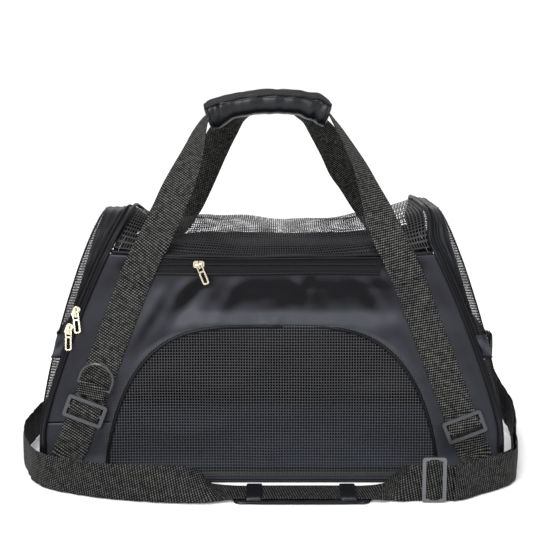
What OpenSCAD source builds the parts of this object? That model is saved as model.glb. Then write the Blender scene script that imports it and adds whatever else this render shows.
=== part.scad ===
// Soft-sided pet carrier bag, in millimetres. The front faces -Y, +X is to the right, +Z is up.
// The origin is the centre of the base, on the surface that the bag stands on.

/* [Body] */
// Half of the length of the front panel at the base
half_len = 227; // [217:1:235]
// Half of the depth of the base
half_depth = 125; // [118:1:132]
// Height of the two end arches
arch_h = 270; // [262:1:280]
// Height of the front and back top seams
seam_z = 232; // [226:1:236]
// How much narrower the front panel's top edge is on each side
taper = 66; // [54:1:70]
// How far the front and back panels lean inwards at the top seam
lean_d = 15; // [8:1:20]
// Radius of the arches' shoulders
arch_r = 56; // [48:1:60]
// How far the ends stand out beyond the end seams at the base
foot_cap = 6.5; // [6:0.1:8]
// How much the ends draw in on each side, from the base to the arches
end_taper = 58; // [52:1:60]
// Thickness of lined fabric and of net with its binding
skin = 1.6; // [1.2:0.1:2.4]
// Height of the net top at its lowest, in the middle
top_sag_z = 251; // [244:1:258]

/* [Window and pocket] */
// Half of the width of the front window at its foot
window_a = 165; // [140:1:170]
// Height of the window above its foot
window_h = 146; // [120:1:150]
// Height of the window's foot above the base
window_z = 10; // [6:1:14]
// Half of the length of the pocket zip
pocket_half = 103; // [80:1:104]
// Height of the pocket zip
pocket_z = 219.5; // [216:0.5:221]

/* [End flaps] */
// Height where the fixed end net ends and the fabric cross band begins
cross_z0 = 126; // [116:1:130]
// Height where the cross band ends and the end flap hinges
cross_z1 = 149; // [140:1:149]
// Height of the upper slider of each end zip
slider_z = 172; // [172:1:175]

/* [Webbing] */
// Width of the carry webbing
web_w = 32; // [30:1:34]
// Thickness of all webbing
web_t = 1.8; // [1.4:0.1:2.0]
// Width of the shoulder strap's webbing
strap_w = 35; // [32:1:36]
// Distance from the middle to the carry webbing at the top of its sewn run
web_top_x = 136; // [130:1:138]
// Height of the top of the sewn run
web_top_z = 203; // [198:1:206]

/* [Grip] */
// Length of the padded grip wrap
grip_len = 132; // [120:1:136]
// Radius of the grip's upward bow
grip_r = 210; // [200:5:260]
// Height of the webbing in the middle of the grip
grip_z = 379; // [372:1:384]
// Depth of the grip wrap, front to back
grip_w = 40; // [38:1:44]
// Height of the grip wrap
grip_h = 25; // [22:1:28]

/* [Hardware] */
// Thickness of the tri-glides
glide_t = 3; // [2.4:0.1:3.4]
// Height of each tri-glide, along the webbing
glide_h = 23; // [21:1:25]
// Radius of the D-rings' wire
ring_wire = 1.6; // [1.4:0.1:1.8]
// Radius of the D-rings' round side
ring_r = 16.5; // [16:0.5:18]
// Length of a zip pull tab
tab_len = 21; // [18:1:23]

/* [Hidden] */

gap = 0.3;                 // between pieces that only touch
straight_z = 50;           // the end seams are upright below this height
taper_power = 1.3;         // how soon the end seams curve inwards above it
end_straight_z = 40;       // the same for the outer faces of the ends
end_taper_h = 222;
end_power = 1.5;
lean = atan(lean_d / seam_z);
shoulder_z = arch_h - arch_r;
arch_y = half_depth - lean_d * shoulder_z / seam_z - arch_r;
base_t = 2.5;              // thickness of the base panel
foot_z = base_t + 0.2;     // where the walls start
gusset_w = 4.4;            // strip between the end seam and its zip
zip_x = 6.3;               // the end zip's distance from its seam
rim_x0 = 8.3;              // where the flap's fabric rim starts, from the seam
piping_r = 1.8;
web_n = 0.1;               // the sewn webbing's distance from the panel
web_foot = [203, 4];       // the carry webbing's foot, its bend and the top of its sewn run
web_bend = [205, 24];
web_top = [web_top_x, web_top_z];
web_angle = atan2(web_bend[0] - web_top[0], web_top[1] - web_bend[1]);
left_glide_s = 73;         // where the tri-glides and D-rings sit, up the panel
right_glide_s = 57;
ring_s = 98;
glide_n = web_n + web_t + gap;
ring_n = 4.7;              // the D-ring bar's distance from the panel
front_ring_tilt = 18;      // the empty ring stands a little off the webbing
back_ring_tilt = 80;       // the strap pulls this one out
slider_n = 1.3;            // a slider's lower face above its tape
pin_n = 5;                 // a pull tab's pin above the panel
tab_rest = 6;              // a tab's rest angle off the panel, where it lies on the piping
pocket_slider_x = -72;
pocket_swing = 22;         // the pocket's tab hangs a little askew
hook_c = 34;               // from the swivel's mouth to the middle of the hook's hole
hook_r0 = 6;
hook_r1 = 11;
clip_t = 4;
eye_bar_x = 12;            // the eye's outer bar, which the webbing loops round
eye_half = strap_w / 2 + 1.2;
pad_len = 132;
pad_w = 48;
pad_t = 3.4;
pad_c = [29, -161];
keeper_x = [-17, 74];
strap_glide_x = 155;

// Carry webbing's free loop, front right quarter: [x, y, z, turn], where turn goes from 0, with the
// webbing's face forward, to 90, lying flat in the grip. The last points follow the grip's bow.
loop_route = [
    [135.5, -113.8, 204.8, 0], [129, -113.6, 218, 0], [122, -113.4, 232, 0], [118, -113, 240, 0],
    [111.5, -106, 254, 2], [99, -88, 282, 12], [90, -68, 306, 26], [83.5, -50, 327, 42],
    [78.5, -35, 343, 60], [75.5, -25, 352, 74], [73.5, -17, 358, 84], [71.5, -9.5, 362.8, 88],
    [69, -3.5, 366.3, 90]
];
loop_grip_x = [64, 56, 42, 28, 14, 0];

// Shoulder strap, from its free clip behind the bag round the left end, along the front and round
// the right end up to the clip on the back ring: [x, y, height of its lower edge, tilt], where tilt
// goes from 0, on edge, to 90, lying flat.
strap_route = [
    [-96.6, 172, 3, 90], [-120, 173, 1, 90], [-145, 173, 1, 90], [-172, 170, 0.3, 62],
    [-200, 161, 0.3, 26], [-226, 146, 0.3, 4], [-246, 122, 0.3, 0], [-258, 88, 0.3, 0],
    [-265, 46, 0.3, 0], [-267, 4, 0.3, 0], [-266, -36, 0.3, 0], [-259, -72, 0.3, 0],
    [-249, -101, 0.3, 0], [-239, -124, 0.3, 0], [-224, -142, 0.3, 0], [-203, -155, 0.3, 0],
    [-174, -168, 0.3, 0], [-140, -176, 0.3, 4], [-108, -179, 0.3, 12], [-82, -177, 0.3, 30],
    [-64, -172, 1, 54], [-54, -165, 3, 76], [-46, -161, 5.2, 90], [-10, -161, 5.2, 90],
    [28, -161, 5.2, 90], [62, -161, 5.2, 90], [102, -161, 5.2, 90], [110, -164, 3, 76],
    [118, -169, 1, 50], [127, -175, 0.3, 20], [138, -178, 0.3, 0], [155, -178, 0.3, 0],
    [173, -178, 0.3, 0], [191, -167, 0.3, 0], [208, -154, 0.3, 0], [222, -143, 0.3, 0],
    [233, -134, 0.3, 0], [241, -122, 0.3, 0], [245, -104, 0.3, 0], [251, -76, 0.3, 0],
    [258, -42, 0.3, 0], [264, -8, 2, 0], [268, 34, 8, 0], [270, 66, 20, 0],
    [270, 88, 34, 0], [270.5, 104, 46, 0], [270, 118, 56, 0], [267.5, 125.5, 61, 0],
    [264, 129.2, 63.8, 0]
];
return_from = 32;          // the strap is double from its tri-glide to the clip on the ring

function unit(v) = v / norm(v);
function seam_x(z) = half_len - taper * pow(max(0, z - straight_z) / (seam_z - straight_z), taper_power);
function end_x(z) = half_len + foot_cap
    - end_taper * pow(max(0, z - end_straight_z) / end_taper_h, end_power);
function rim_x(z) = seam_x(z) + rim_x0 + 1
    + 0.95 * (end_x(z) - seam_x(z) - rim_x0 - 2.5) * max(0, z - cross_z1) / (arch_h - cross_z1);
function side_y(z) = half_depth - lean_d * z / seam_z;
function mirror_x(p) = [-p[0], p[1]];
function reversed(list) = [for (i = [len(list) - 1:-1:0]) list[i]];

// Half of an end arch's outline as [y, z], drawn in by inset, from its foot at z0 to its top
function half_arch(inset, z0) = concat(
    [[side_y(z0) - inset, z0]],
    [for (a = [0:11.25:90]) [arch_y + (arch_r - inset) * cos(a), shoulder_z + (arch_r - inset) * sin(a)]]
);
function arch(inset, z0) = concat(half_arch(inset, z0), [for (p = reversed(half_arch(inset, z0))) mirror_x(p)]);

// Points along an end seam, as [x, y, z]: shift beyond the seam, out off the surface, above z0
function seam_side(shift, out, z0) = [
    for (i = [0:9])
        let (z = z0 + (shoulder_z - z0) * i / 10)
        [seam_x(z) + shift, -side_y(z) - out, z]
];
function seam_arc(shift, out) = [
    for (a = [0:15:90])
        [
            seam_x(shoulder_z + arch_r * sin(a)) + shift,
            -arch_y - (arch_r + out) * cos(a),
            shoulder_z + (arch_r + out) * sin(a)
        ]
];
function half_seam(shift, out, z0) = concat(seam_side(shift, out, z0), seam_arc(shift, out));
function end_seam(shift, out, z0) = concat(
    half_seam(shift, out, z0),
    [for (p = reversed(half_seam(shift, out, z0))) [p[0], -p[1], p[2]]]
);

// Window's outline, grown by g: an arch whose sides curve in to a flat top
function window_side(g) = [
    for (a = [0:6:90])
        [(window_a + g) * pow(1 - pow(sin(a), 1.7), 0.26), window_z + (window_h + g) * sin(a)]
];
function window_arch(g) = concat(window_side(g), [for (p = reversed(window_side(g))) mirror_x(p)]);

// A closed solid through rings of points that run anticlockwise about its direction of travel
function strip_cap(m) = [for (j = [0:m / 2 - 2]) each [[j, j + 1, m - 2 - j], [j, m - 2 - j, m - 1 - j]]];
function loft_faces(n, m) = concat(
    strip_cap(m),
    [
        for (i = [0:n - 2], j = [0:m - 1])
            each [
                [i * m + j, (i + 1) * m + j, (i + 1) * m + (j + 1) % m],
                [i * m + j, (i + 1) * m + (j + 1) % m, i * m + (j + 1) % m]
            ]
    ],
    [for (f = strip_cap(m)) [for (k = reversed(f)) k + (n - 1) * m]]
);
module loft(rings) {
    polyhedron(points = [for (r = rings) each r], faces = loft_faces(len(rings), len(rings[0])));
}

function heading(p, i) = unit(p[min(i + 1, len(p) - 1)] - p[max(i - 1, 0)]);

// A flat band w wide and t thick along path, with its width along sides, moved off its face by shift
module ribbon(path, sides, w, t, shift = 0) {
    loft([
        for (i = [0:len(path) - 1])
            let (side = unit(sides[i]), face = unit(cross(heading(path, i), side)))
            [for (k = [[-1, -1], [1, -1], [1, 1], [-1, 1]]) path[i] + side * k[0] * w / 2 + face * (k[1] * t / 2 + shift)]
    ]);
}

// A round cord of radius r along path, which never runs along +X for long
module tube(path, r, sides = 8) {
    loft([
        for (i = [0:len(path) - 1])
            let (
                along = heading(path, i),
                across = unit(cross(along, [1, 0, 0.001])),
                third = cross(along, across)
            )
            [for (k = [0:sides - 1]) path[i] + r * (across * cos(k * 360 / sides) + third * sin(k * 360 / sides))]
    ]);
}

// Rectangle with rounded corners
module round_rect(w, h, r) {
    square([w - 2 * r, h], center = true);
    square([w, h - 2 * r], center = true);
    for (x = [-1, 1], y = [-1, 1])
        translate([x * (w / 2 - r), y * (h / 2 - r)])
            circle(r, $fn = 40);
}

// Children's x, y and z become world x, up the panel and out of the panel
module on_front() {
    translate([0, -half_depth, 0])
        rotate([90 - lean, 0, 0])
            children();
}
module on_back() {
    rotate([0, 0, 180])
        on_front()
            children();
}
module left_side() {
    mirror([1, 0, 0])
        children();
}

// Right end's walls: a bar of the arch's section, its skin, and a curved band beside the seam, whose
// edges are given as functions of height
module arch_bar(inset) {
    rotate([90, 0, 90])
        linear_extrude(half_len + 20)
            polygon(arch(inset, -1));
}
module arch_skin(inset0, inset1) {
    rotate([90, 0, 90])
        linear_extrude(half_len + 20)
            difference() {
                polygon(arch(inset0, -1));
                polygon(arch(inset1, -2));
            }
}
seam_off = function(d) function(z) seam_x(z) + d;
end_off = function(d) function(z) end_x(z) + d;
rim_off = function(d) function(z) rim_x(z) + d;

module curved_band(inner, outer, z0, z1) {
    steps = 14;
    heights = [for (i = [0:steps]) z0 + (z1 - z0) * i / steps];
    rotate([90, 0, 0])
        linear_extrude(2 * half_depth + 20, center = true)
            polygon(concat(
                [for (z = heights) [outer(z), z]],
                [for (z = reversed(heights)) [inner(z), z]]
            ));
}
module end_rim(inner, outer, z0, z1) {
    intersection() {
        arch_skin(0, skin);
        curved_band(inner, outer, z0, z1);
    }
}
module end_cap(inner, z0, z1) {
    end_rim(inner, end_off(0), z0, z1);
    intersection() {
        arch_bar(0);
        curved_band(end_off(-skin), end_off(0), z0, z1);
    }
}

// Front and back

module panel_shape() {
    steps = 14;
    top = seam_z - 2.6;
    heights = [for (i = [0:steps]) foot_z + (top - foot_z) * i / steps];
    polygon(concat(
        [for (s = heights) [seam_x(s) - 0.4, s]],
        [for (s = reversed(heights)) [0.4 - seam_x(s), s]]
    ));
}

module front_panel() {
    color([0.16, 0.17, 0.2])
        on_front()
            translate([0, 0, -skin])
                linear_extrude(skin)
                    difference() {
                        panel_shape();
                        polygon(window_arch(0));
                    }
}

module front_window_net() {
    color([0.08, 0.09, 0.12])
        on_front()
            translate([0, 0, -skin - 1])
                linear_extrude(0.8)
                    polygon(window_arch(6));
}

module window_piping() {
    path = [for (p = window_arch(1)) [p[0], p[1], piping_r + 0.1]];
    sides = [for (i = [0:len(path) - 1]) cross(heading(path, i), [0, 0, 1])];
    color([0.1, 0.1, 0.12])
        on_front()
            loft([
                for (i = [0:len(path) - 1])
                    let (side = unit(sides[i]))
                    [
                        for (k = [0:7])
                            path[i] + piping_r * (side * cos(k * 45) - [0, 0, 1] * sin(k * 45))
                    ]
            ]);
}

module pocket_lining() {
    color([0.1, 0.1, 0.12])
        on_front()
            translate([-pocket_half - 4, 166, -skin - 1.6])
                cube([2 * pocket_half + 8, 60, 1.4]);
}

module pocket_zip() {
    color([0.05, 0.05, 0.06])
        on_front() {
            translate([-pocket_half, pocket_z - 8.5, 0.1])
                cube([2 * pocket_half, 17, 0.5]);
            translate([-pocket_half, pocket_z - 2.2, 0.1])
                cube([2 * pocket_half, 4.4, 0.9]);
        }
}

module back_panel() {
    color([0.16, 0.17, 0.2])
        on_back()
            translate([0, 0, -skin])
                linear_extrude(skin)
                    panel_shape();
}

module base_panel() {
    color([0.12, 0.12, 0.14])
        linear_extrude(base_t)
            round_rect(2 * (half_len + foot_cap), 2 * half_depth, 3);
}

// Top net: hangs between the end arches and the two top seams

function arch_z(y) = abs(y) < arch_y ? arch_h : shoulder_z + sqrt(pow(arch_r, 2) - pow(abs(y) - arch_y, 2));
function sag_z(y) = seam_z + (top_sag_z - seam_z) * (1 - pow(abs(y) / net_y, 2.4));
function net_point(u, v, drop) = let (y = v * net_y) [
    u * (seam_x(arch_z(y)) - 0.6),
    y,
    sag_z(y) + (arch_z(y) - sag_z(y)) * pow(abs(u), 3) - drop
];
net_y = 106.5;             // half of the top net's depth

module top_net() {
    color([0.08, 0.09, 0.12])
        loft([
            for (u = [-1:0.125:1])
                concat(
                    [for (v = [-1:0.125:1]) net_point(u, v, 1.4)],
                    [for (v = [1:-0.125:-1]) net_point(u, v, 0)]
                )
        ]);
}

module top_seam_piping() {
    color([0.1, 0.1, 0.12])
        for (turn = [0, 180])
            rotate([0, 0, turn])
                on_front()
                    translate([0, seam_z - 0.6, -0.9])
                        rotate([0, 90, 0])
                            cylinder(r = 1.7, h = 2 * seam_x(seam_z) - 8, center = true, $fn = 24);
}

// Ends

module end_gusset() {
    color([0.14, 0.14, 0.17])
        end_rim(seam_off(gap), seam_off(gusset_w), foot_z, arch_h);
}
module right_gusset() { end_gusset(); }
module left_gusset() { left_side() end_gusset(); }

module end_piping() {
    color([0.1, 0.1, 0.12])
        tube(end_seam(0, piping_r + 0.1, foot_z + 0.3), piping_r);
}
module right_end_piping() { end_piping(); }
module left_end_piping() { left_side() end_piping(); }

module hoop_wire() {
    color([0.7, 0.7, 0.72])
        tube(end_seam(1.7, -skin - 1.7, foot_z + 0.3), 1.3);
}
module end_hoop_wires() {
    hoop_wire();
    left_side() hoop_wire();
}

module lower_net() {
    color([0.08, 0.09, 0.12])
        end_cap(seam_off(gusset_w + 0.2), foot_z, cross_z0);
}
module right_lower_net() { lower_net(); }
module left_lower_net() { left_side() lower_net(); }

module cross_band() {
    color([0.16, 0.17, 0.2])
        end_cap(seam_off(gusset_w + 0.2), cross_z0 + 0.2, cross_z1);
}
module right_cross_band() { cross_band(); }
module left_cross_band() { left_side() cross_band(); }

module flap_zip() {
    color([0.05, 0.05, 0.06])
        intersection() {
            arch_skin(-0.9, 1);
            curved_band(seam_off(gusset_w + 0.2), seam_off(rim_x0 - gap), cross_z1 + 0.3, arch_h + 2);
        }
}
module right_flap_zip() { flap_zip(); }
module left_flap_zip() { left_side() flap_zip(); }

module flap_rim() {
    color([0.16, 0.17, 0.2])
        end_rim(seam_off(rim_x0), rim_off(0), cross_z1 + 1, arch_h);
}
module right_flap_rim() { flap_rim(); }
module left_flap_rim() { left_side() flap_rim(); }

module flap_net() {
    color([0.08, 0.09, 0.12])
        end_cap(rim_off(0.1), cross_z1 + 1, arch_h);
}
module right_flap_net() { flap_net(); }
module left_flap_net() { left_side() flap_net(); }

// Zip sliders and pull tabs. A slider runs along its own +Y, with +Z out of the tape, and its bridge
// is turned to face the tab.

module slider(bridge_turn) {
    color([0.85, 0.8, 0.68]) {
        translate([0, 0, slider_n])
            linear_extrude(2)
                round_rect(7, 11, 2.4);
        rotate([0, 0, bridge_turn]) {
            for (y = [-3.4, 3.4])
                translate([-0.8, y - 0.8, slider_n + 1.9])
                    cube([1.6, 1.6, 4.2]);
            translate([-0.8, -4.2, slider_n + 5.1])
                cube([1.6, 8.4, 1.6]);
        }
    }
}

tab_rim = 1.5;             // width of metal round a tab's eye

// A tab hangs along its own -Y from a pin on its X axis
module pull_tab() {
    color([0.85, 0.8, 0.68]) {
        rotate([0, 90, 0])
            cylinder(r = 0.8, h = 6, center = true, $fn = 24);
        for (x = [-2.6, 2.6])
            translate([x - 0.6, -7.4, -0.7])
                cube([1.2, 7.4, 1.4]);
        translate([0, -7 - (tab_len - 7) / 2, -0.7])
            linear_extrude(1.4)
                difference() {
                    round_rect(6.4, tab_len - 7, 2);
                    round_rect(6.4 - 2 * tab_rim, tab_len - 7 - 2 * tab_rim, 1);
                }
    }
}

function track_angle(z) = atan((seam_x(z - 5) - seam_x(z + 5)) / 10);
slider_pitch = 17;         // between an end zip's two sliders, in height

// Places children on the left end's zip, at the front, at height z
module on_track(z) {
    on_front()
        translate([-seam_x(z) - zip_x, z / cos(lean), 0])
            children();
}
module end_slider(z, swing) {
    on_track(z)
        rotate([0, 0, -track_angle(slider_z)])
            slider(swing + track_angle(slider_z));
}
module end_tab(z, swing) {
    on_track(z)
        translate([0, 0, pin_n])
            rotate([0, 0, swing])
                rotate([-tab_rest, 0, 0])
                    pull_tab();
}
upper_swing = 7;           // the upper tab hangs clear of the lower slider
lower_swing = 0;

module left_upper_slider() { end_slider(slider_z, upper_swing); }
module left_upper_tab() { end_tab(slider_z, upper_swing); }
module left_lower_slider() { end_slider(slider_z - slider_pitch, lower_swing); }
module left_lower_tab() { end_tab(slider_z - slider_pitch, lower_swing); }

module turned_round() { rotate([0, 0, 180]) children(); }
module right_upper_slider() { turned_round() left_upper_slider(); }
module right_upper_tab() { turned_round() left_upper_tab(); }
module right_lower_slider() { turned_round() left_lower_slider(); }
module right_lower_tab() { turned_round() left_lower_tab(); }

module pocket_slider() {
    on_front()
        translate([pocket_slider_x, pocket_z, 0])
            rotate([0, 0, -90])
                slider(90 + pocket_swing);
}
module pocket_tab() {
    on_front()
        translate([pocket_slider_x, pocket_z, pin_n])
            rotate([0, 0, pocket_swing])
                pull_tab();
}

// Carry webbing

// A band of width w along a route of points in a plane
function across(p, i) = let (d = unit(p[min(i + 1, len(p) - 1)] - p[max(i - 1, 0)])) [d[1], -d[0]];
function strip(p, w) = concat(
    [for (i = [0:len(p) - 1]) p[i] + across(p, i) * w / 2],
    [for (i = [len(p) - 1:-1:0]) p[i] - across(p, i) * w / 2]
);
module sewn_webbing() {
    color([0.11, 0.11, 0.11])
        on_front()
            for (side = [0, 1])
                mirror([side, 0, 0])
                    translate([0, 0, web_n])
                        linear_extrude(web_t)
                            polygon(strip([web_foot, web_bend, web_top], web_w));
}
module front_carry_webbing() { sewn_webbing(); }
module back_carry_webbing() { turned_round() sewn_webbing(); }

bow_z = grip_z - grip_r;   // centre of the grip's bow
quarter = concat(loop_route, [for (x = loop_grip_x) [x, 0, bow_z + sqrt(pow(grip_r, 2) - x * x), 90]]);
whole_loop = concat(
    quarter,
    [for (i = [len(quarter) - 2:-1:0]) let (p = quarter[i]) [-p[0], p[1], p[2], p[3]]]
);

// The front loop lies over the back one in the grip, by level above and below
module handle_loop(level) {
    route = [for (p = whole_loop) [p[0], p[1], p[2]]];
    sides = [
        for (i = [0:len(route) - 1])
            let (d = heading(route, i), turn = whole_loop[i][3])
            cos(turn) * unit([d[2], 0, -d[0]]) + [0, sin(turn), 0]
    ];
    path = [
        for (i = [0:len(route) - 1])
            route[i] - unit(cross(heading(route, i), sides[i])) * level * sin(whole_loop[i][3])
    ];
    color([0.11, 0.11, 0.11])
        ribbon(path, sides, web_w, web_t);
}
module front_handle_loop() { handle_loop(1.8); }
module back_handle_loop() { turned_round() handle_loop(-1.8); }

// Grip wrap: a sleeve bowed about an axis along Y

module bowed(section_angle) {
    translate([0, 0, bow_z])
        rotate([90, 0, 0])
            rotate([0, 0, 90 - section_angle / 2])
                rotate_extrude(angle = section_angle, $fn = 240)
                    children();
}
grip_angle = 2 * asin(grip_len / 2 / grip_r);
flap_low = grip_h / 2 - 2.2;    // underside of the closing flap, from the bow's line

module grip_wrap() {
    color([0.07, 0.07, 0.08])
        bowed(grip_angle)
            difference() {
                translate([grip_r - (grip_h / 2 - flap_low + gap) / 2, 0])
                    round_rect(grip_h / 2 + flap_low - gap, grip_w, 8);
                translate([grip_r, 0])
                    square([8, web_w + 4], center = true);
            }
}
module grip_flap() {
    color([0.07, 0.07, 0.08])
        bowed(grip_angle)
            translate([grip_r + flap_low + 1.1, 0])
                square([2.2, grip_w - 8], center = true);
}

// Tri-glide: w is the webbing that it holds, and +Y is along the webbing
module tri_glide(w) {
    slot = (glide_h - 3.5 * 3) / 2;
    linear_extrude(glide_t)
        difference() {
            round_rect(w + 9, glide_h, 3);
            for (side = [-1, 1])
                translate([0, side * (slot + 3.5) / 2])
                    square([w + 2, slot], center = true);
        }
}

// Places children on the front left carry webbing, at s up the panel and n off it
function web_x(s) = web_top[0] + (web_top[1] - s) * tan(web_angle);
module on_left_web(s, n) {
    on_front()
        translate([-web_x(s), s, n])
            rotate([0, 0, -web_angle])
                children();
}
module on_right_web(s, n) {
    on_front()
        translate([web_x(s), s, n])
            rotate([0, 0, web_angle])
                children();
}
module glide() { color([0.3, 0.3, 0.32]) tri_glide(web_w); }
module front_left_glide() { on_left_web(left_glide_s, glide_n) glide(); }
module front_right_glide() { on_right_web(right_glide_s, glide_n) glide(); }
module back_right_glide() { turned_round() on_left_web(left_glide_s, glide_n) glide(); }
module back_left_glide() { turned_round() on_right_web(right_glide_s, glide_n) glide(); }

// D-ring: its bar is on the X axis and its round side points along +Y
ring_leg = 9;
module d_ring() {
    color([0.35, 0.35, 0.37]) {
        rotate([0, 90, 0])
            cylinder(r = ring_wire, h = 2 * ring_r, center = true, $fn = 24);
        for (side = [-1, 1]) {
            translate([side * ring_r, 0, 0])
                rotate([-90, 0, 0])
                    cylinder(r = ring_wire, h = ring_leg, $fn = 24);
            translate([side * ring_r, 0, 0])
                sphere(r = ring_wire, $fn = 24);
        }
        translate([0, ring_leg, 0])
            rotate_extrude(angle = 180, $fn = 64)
                translate([ring_r, 0])
                    circle(ring_wire, $fn = 24);
    }
}

// Webbing folded round the D-ring's bar and sewn down
module ring_tab() {
    tab_w = 2 * ring_r - 2 * ring_wire - 2;
    color([0.11, 0.11, 0.11])
        difference() {
            union() {
                rotate([0, 90, 0])
                    cylinder(r = 2.5, h = tab_w, center = true, $fn = 32);
                translate([-tab_w / 2, -11, -2.5])
                    cube([tab_w, 11, 2.3]);
            }
            rotate([0, 90, 0])
                cylinder(r = ring_wire + 0.06, h = tab_w + 2, center = true, $fn = 32);
        }
}
module front_ring() { on_left_web(ring_s, ring_n) rotate([front_ring_tilt, 0, 0]) d_ring(); }
module front_ring_tab() { on_left_web(ring_s, ring_n) ring_tab(); }
module back_ring() { turned_round() on_left_web(ring_s, ring_n) rotate([back_ring_tilt, 0, 0]) d_ring(); }
module back_ring_tab() { turned_round() on_left_web(ring_s, ring_n) ring_tab(); }

// Inside

module base_board() {
    color([0.2, 0.2, 0.2])
        translate([0, 0, base_t + 0.3])
            linear_extrude(2.4)
                round_rect(436, 232, 14);
}
module floor_mat() {
    color([0.3, 0.32, 0.36])
        translate([0, 0, base_t + 3])
            linear_extrude(10)
                round_rect(434, 230, 20);
}

// Shoulder strap

function strap_side(i) = let (
    flat = [for (p = strap_route) [p[0], p[1], 0]],
    d = heading(flat, i),
    tilt = strap_route[i][3]
) [-d[1] * sin(tilt), d[0] * sin(tilt), cos(tilt)];
function strap_point(i) = let (p = strap_route[i]) [
    p[0],
    p[1],
    p[2] + strap_w / 2 * cos(p[3]) + web_t / 2 * sin(p[3])
];
function strap_run(from, to) = [for (i = [from:to]) strap_point(i)];
function strap_sides(from, to) = [for (i = [from:to]) strap_side(i)];
last_point = len(strap_route) - 1;

module shoulder_strap() {
    color([0.11, 0.11, 0.11])
        ribbon(strap_run(0, last_point), strap_sides(0, last_point), strap_w, web_t);
}
module strap_return() {
    color([0.11, 0.11, 0.11])
        ribbon(
            strap_run(return_from, last_point), strap_sides(return_from, last_point),
            strap_w, web_t, web_t + 0.4
        );
}
module strap_glide() {
    color([0.3, 0.3, 0.32])
        translate([strap_glide_x, strap_route[return_from][1] - web_t / 2 - gap, strap_w / 2 + 4.9])
            rotate([90, 90, 0])
                tri_glide(strap_w);
}
module shoulder_pad() {
    color([0.09, 0.09, 0.1]) {
        translate([pad_c[0], pad_c[1], 0.2])
            linear_extrude(pad_t)
                round_rect(pad_len, pad_w, 10);
        for (x = keeper_x)
            translate([x, pad_c[1], 0.2 + pad_t])
                difference() {
                    translate([-8, -strap_w / 2 - 2.6, 0])
                        cube([16, strap_w + 5.2, 5.4]);
                    translate([-9, -strap_w / 2 - 1, 1.1])
                        cube([18, strap_w + 2, 3]);
                }
    }
}

// Swivel clips. A clip points along its own -X, with its strap towards +X, in its XY plane.

barrel_x = -8;             // the swivel barrel runs from here to the eye
module clip_eye() {
    slot_x0 = 3;
    color([0.3, 0.3, 0.32]) {
        linear_extrude(clip_t, center = true)
            difference() {
                translate([eye_bar_x / 2 + 0.5, 0])
                    round_rect(eye_bar_x + 3, 2 * eye_half + 7, 3);
                translate([(slot_x0 + eye_bar_x + 1.4) / 2, 0])
                    square([eye_bar_x + 1.4 - slot_x0, 2 * eye_half], center = true);
            }
        translate([eye_bar_x, 0, 0])
            rotate([90, 0, 0])
                cylinder(r = 1.8, h = 2 * eye_half + 1, center = true, $fn = 24);
        rotate([0, -90, 0])
            difference() {
                cylinder(r = 4.6, h = -barrel_x, $fn = 40);
                translate([0, 0, 1])
                    cylinder(r = 2.56, h = -barrel_x, $fn = 40);
            }
    }
}
gate_pin = [-19, 6.6];     // the gate turns about this point
module clip_hook() {
    color([0.3, 0.3, 0.32]) {
        translate([-1.4, 0, 0])
            rotate([0, -90, 0])
                cylinder(r = 2.5, h = 10, $fn = 40);
        linear_extrude(clip_t, center = true) {
            translate([barrel_x - gap - 10.7, -9])
                square([10.7, 13.5]);
            translate([-hook_c + 2, -9])
                square([hook_c - 14, 4.5]);
            translate([-hook_c, 0])
                difference() {
                    circle(hook_r1, $fn = 64);
                    circle(hook_r0, $fn = 64);
                    translate([2 - hook_r0, 3.5])
                        square(20);
                    translate([2, -1])
                        square(20);
                }
        }
    }
}
module clip_gate() {
    reach = hook_c + gate_pin[0] + 3.7;
    color([0.5, 0.5, 0.52])
        translate([gate_pin[0], gate_pin[1], 0])
            linear_extrude(clip_t - 1, center = true) {
                circle(1.8, $fn = 24);
                translate([-reach, -1.6])
                    square([reach, 3.2]);
                translate([-9, 0])
                    square([4, 5.4]);
            }
}
module end_loop() {
    color([0.11, 0.11, 0.11])
        difference() {
            union() {
                translate([eye_bar_x, -strap_w / 2, -3.6])
                    cube([22, strap_w, 7.2]);
                translate([eye_bar_x, 0, 0])
                    rotate([90, 0, 0])
                        cylinder(r = 3.6, h = strap_w, center = true, $fn = 32);
            }
            translate([eye_bar_x, 0, 0])
                rotate([90, 0, 0])
                    cylinder(r = 1.9, h = strap_w + 2, center = true, $fn = 32);
            translate([eye_bar_x - 1, -strap_w / 2 - 1, -2.1])
                cube([3.8, strap_w + 2, 4.2]);
        }
}

// The free clip lies on the floor behind the bag
free_clip = [strap_route[0][0] + 35.1, strap_route[0][1], 4];
module at_free_clip() {
    translate(free_clip)
        rotate([0, 0, 180])
            children();
}

// The other clip hooks round the outer leg of the back ring and droops towards the bag's right end
hook_up = 8;               // where the hook holds the leg, above the ring's bar
clip_droop = 18;
leg_point = [
    -web_x(ring_s) - ring_r * cos(web_angle) + hook_up * cos(back_ring_tilt) * sin(web_angle),
    ring_s + ring_r * sin(web_angle) + hook_up * cos(back_ring_tilt) * cos(web_angle),
    ring_n + hook_up * sin(back_ring_tilt)
];
module at_ringed_clip() {
    turned_round()
        on_front()
            translate(leg_point)
                rotate([0, 0, 180 + clip_droop])
                    translate([hook_c + 2, 1.2, 0])
                        children();
}
module clip_eyes() {
    at_free_clip() clip_eye();
    at_ringed_clip() clip_eye();
}
module strap_end_loops() {
    at_free_clip() end_loop();
    at_ringed_clip() end_loop();
}
module free_hook() { at_free_clip() clip_hook(); }
module free_gate() { at_free_clip() clip_gate(); }
module ringed_hook() { at_ringed_clip() clip_hook(); }
module ringed_gate() { at_ringed_clip() clip_gate(); }

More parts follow.
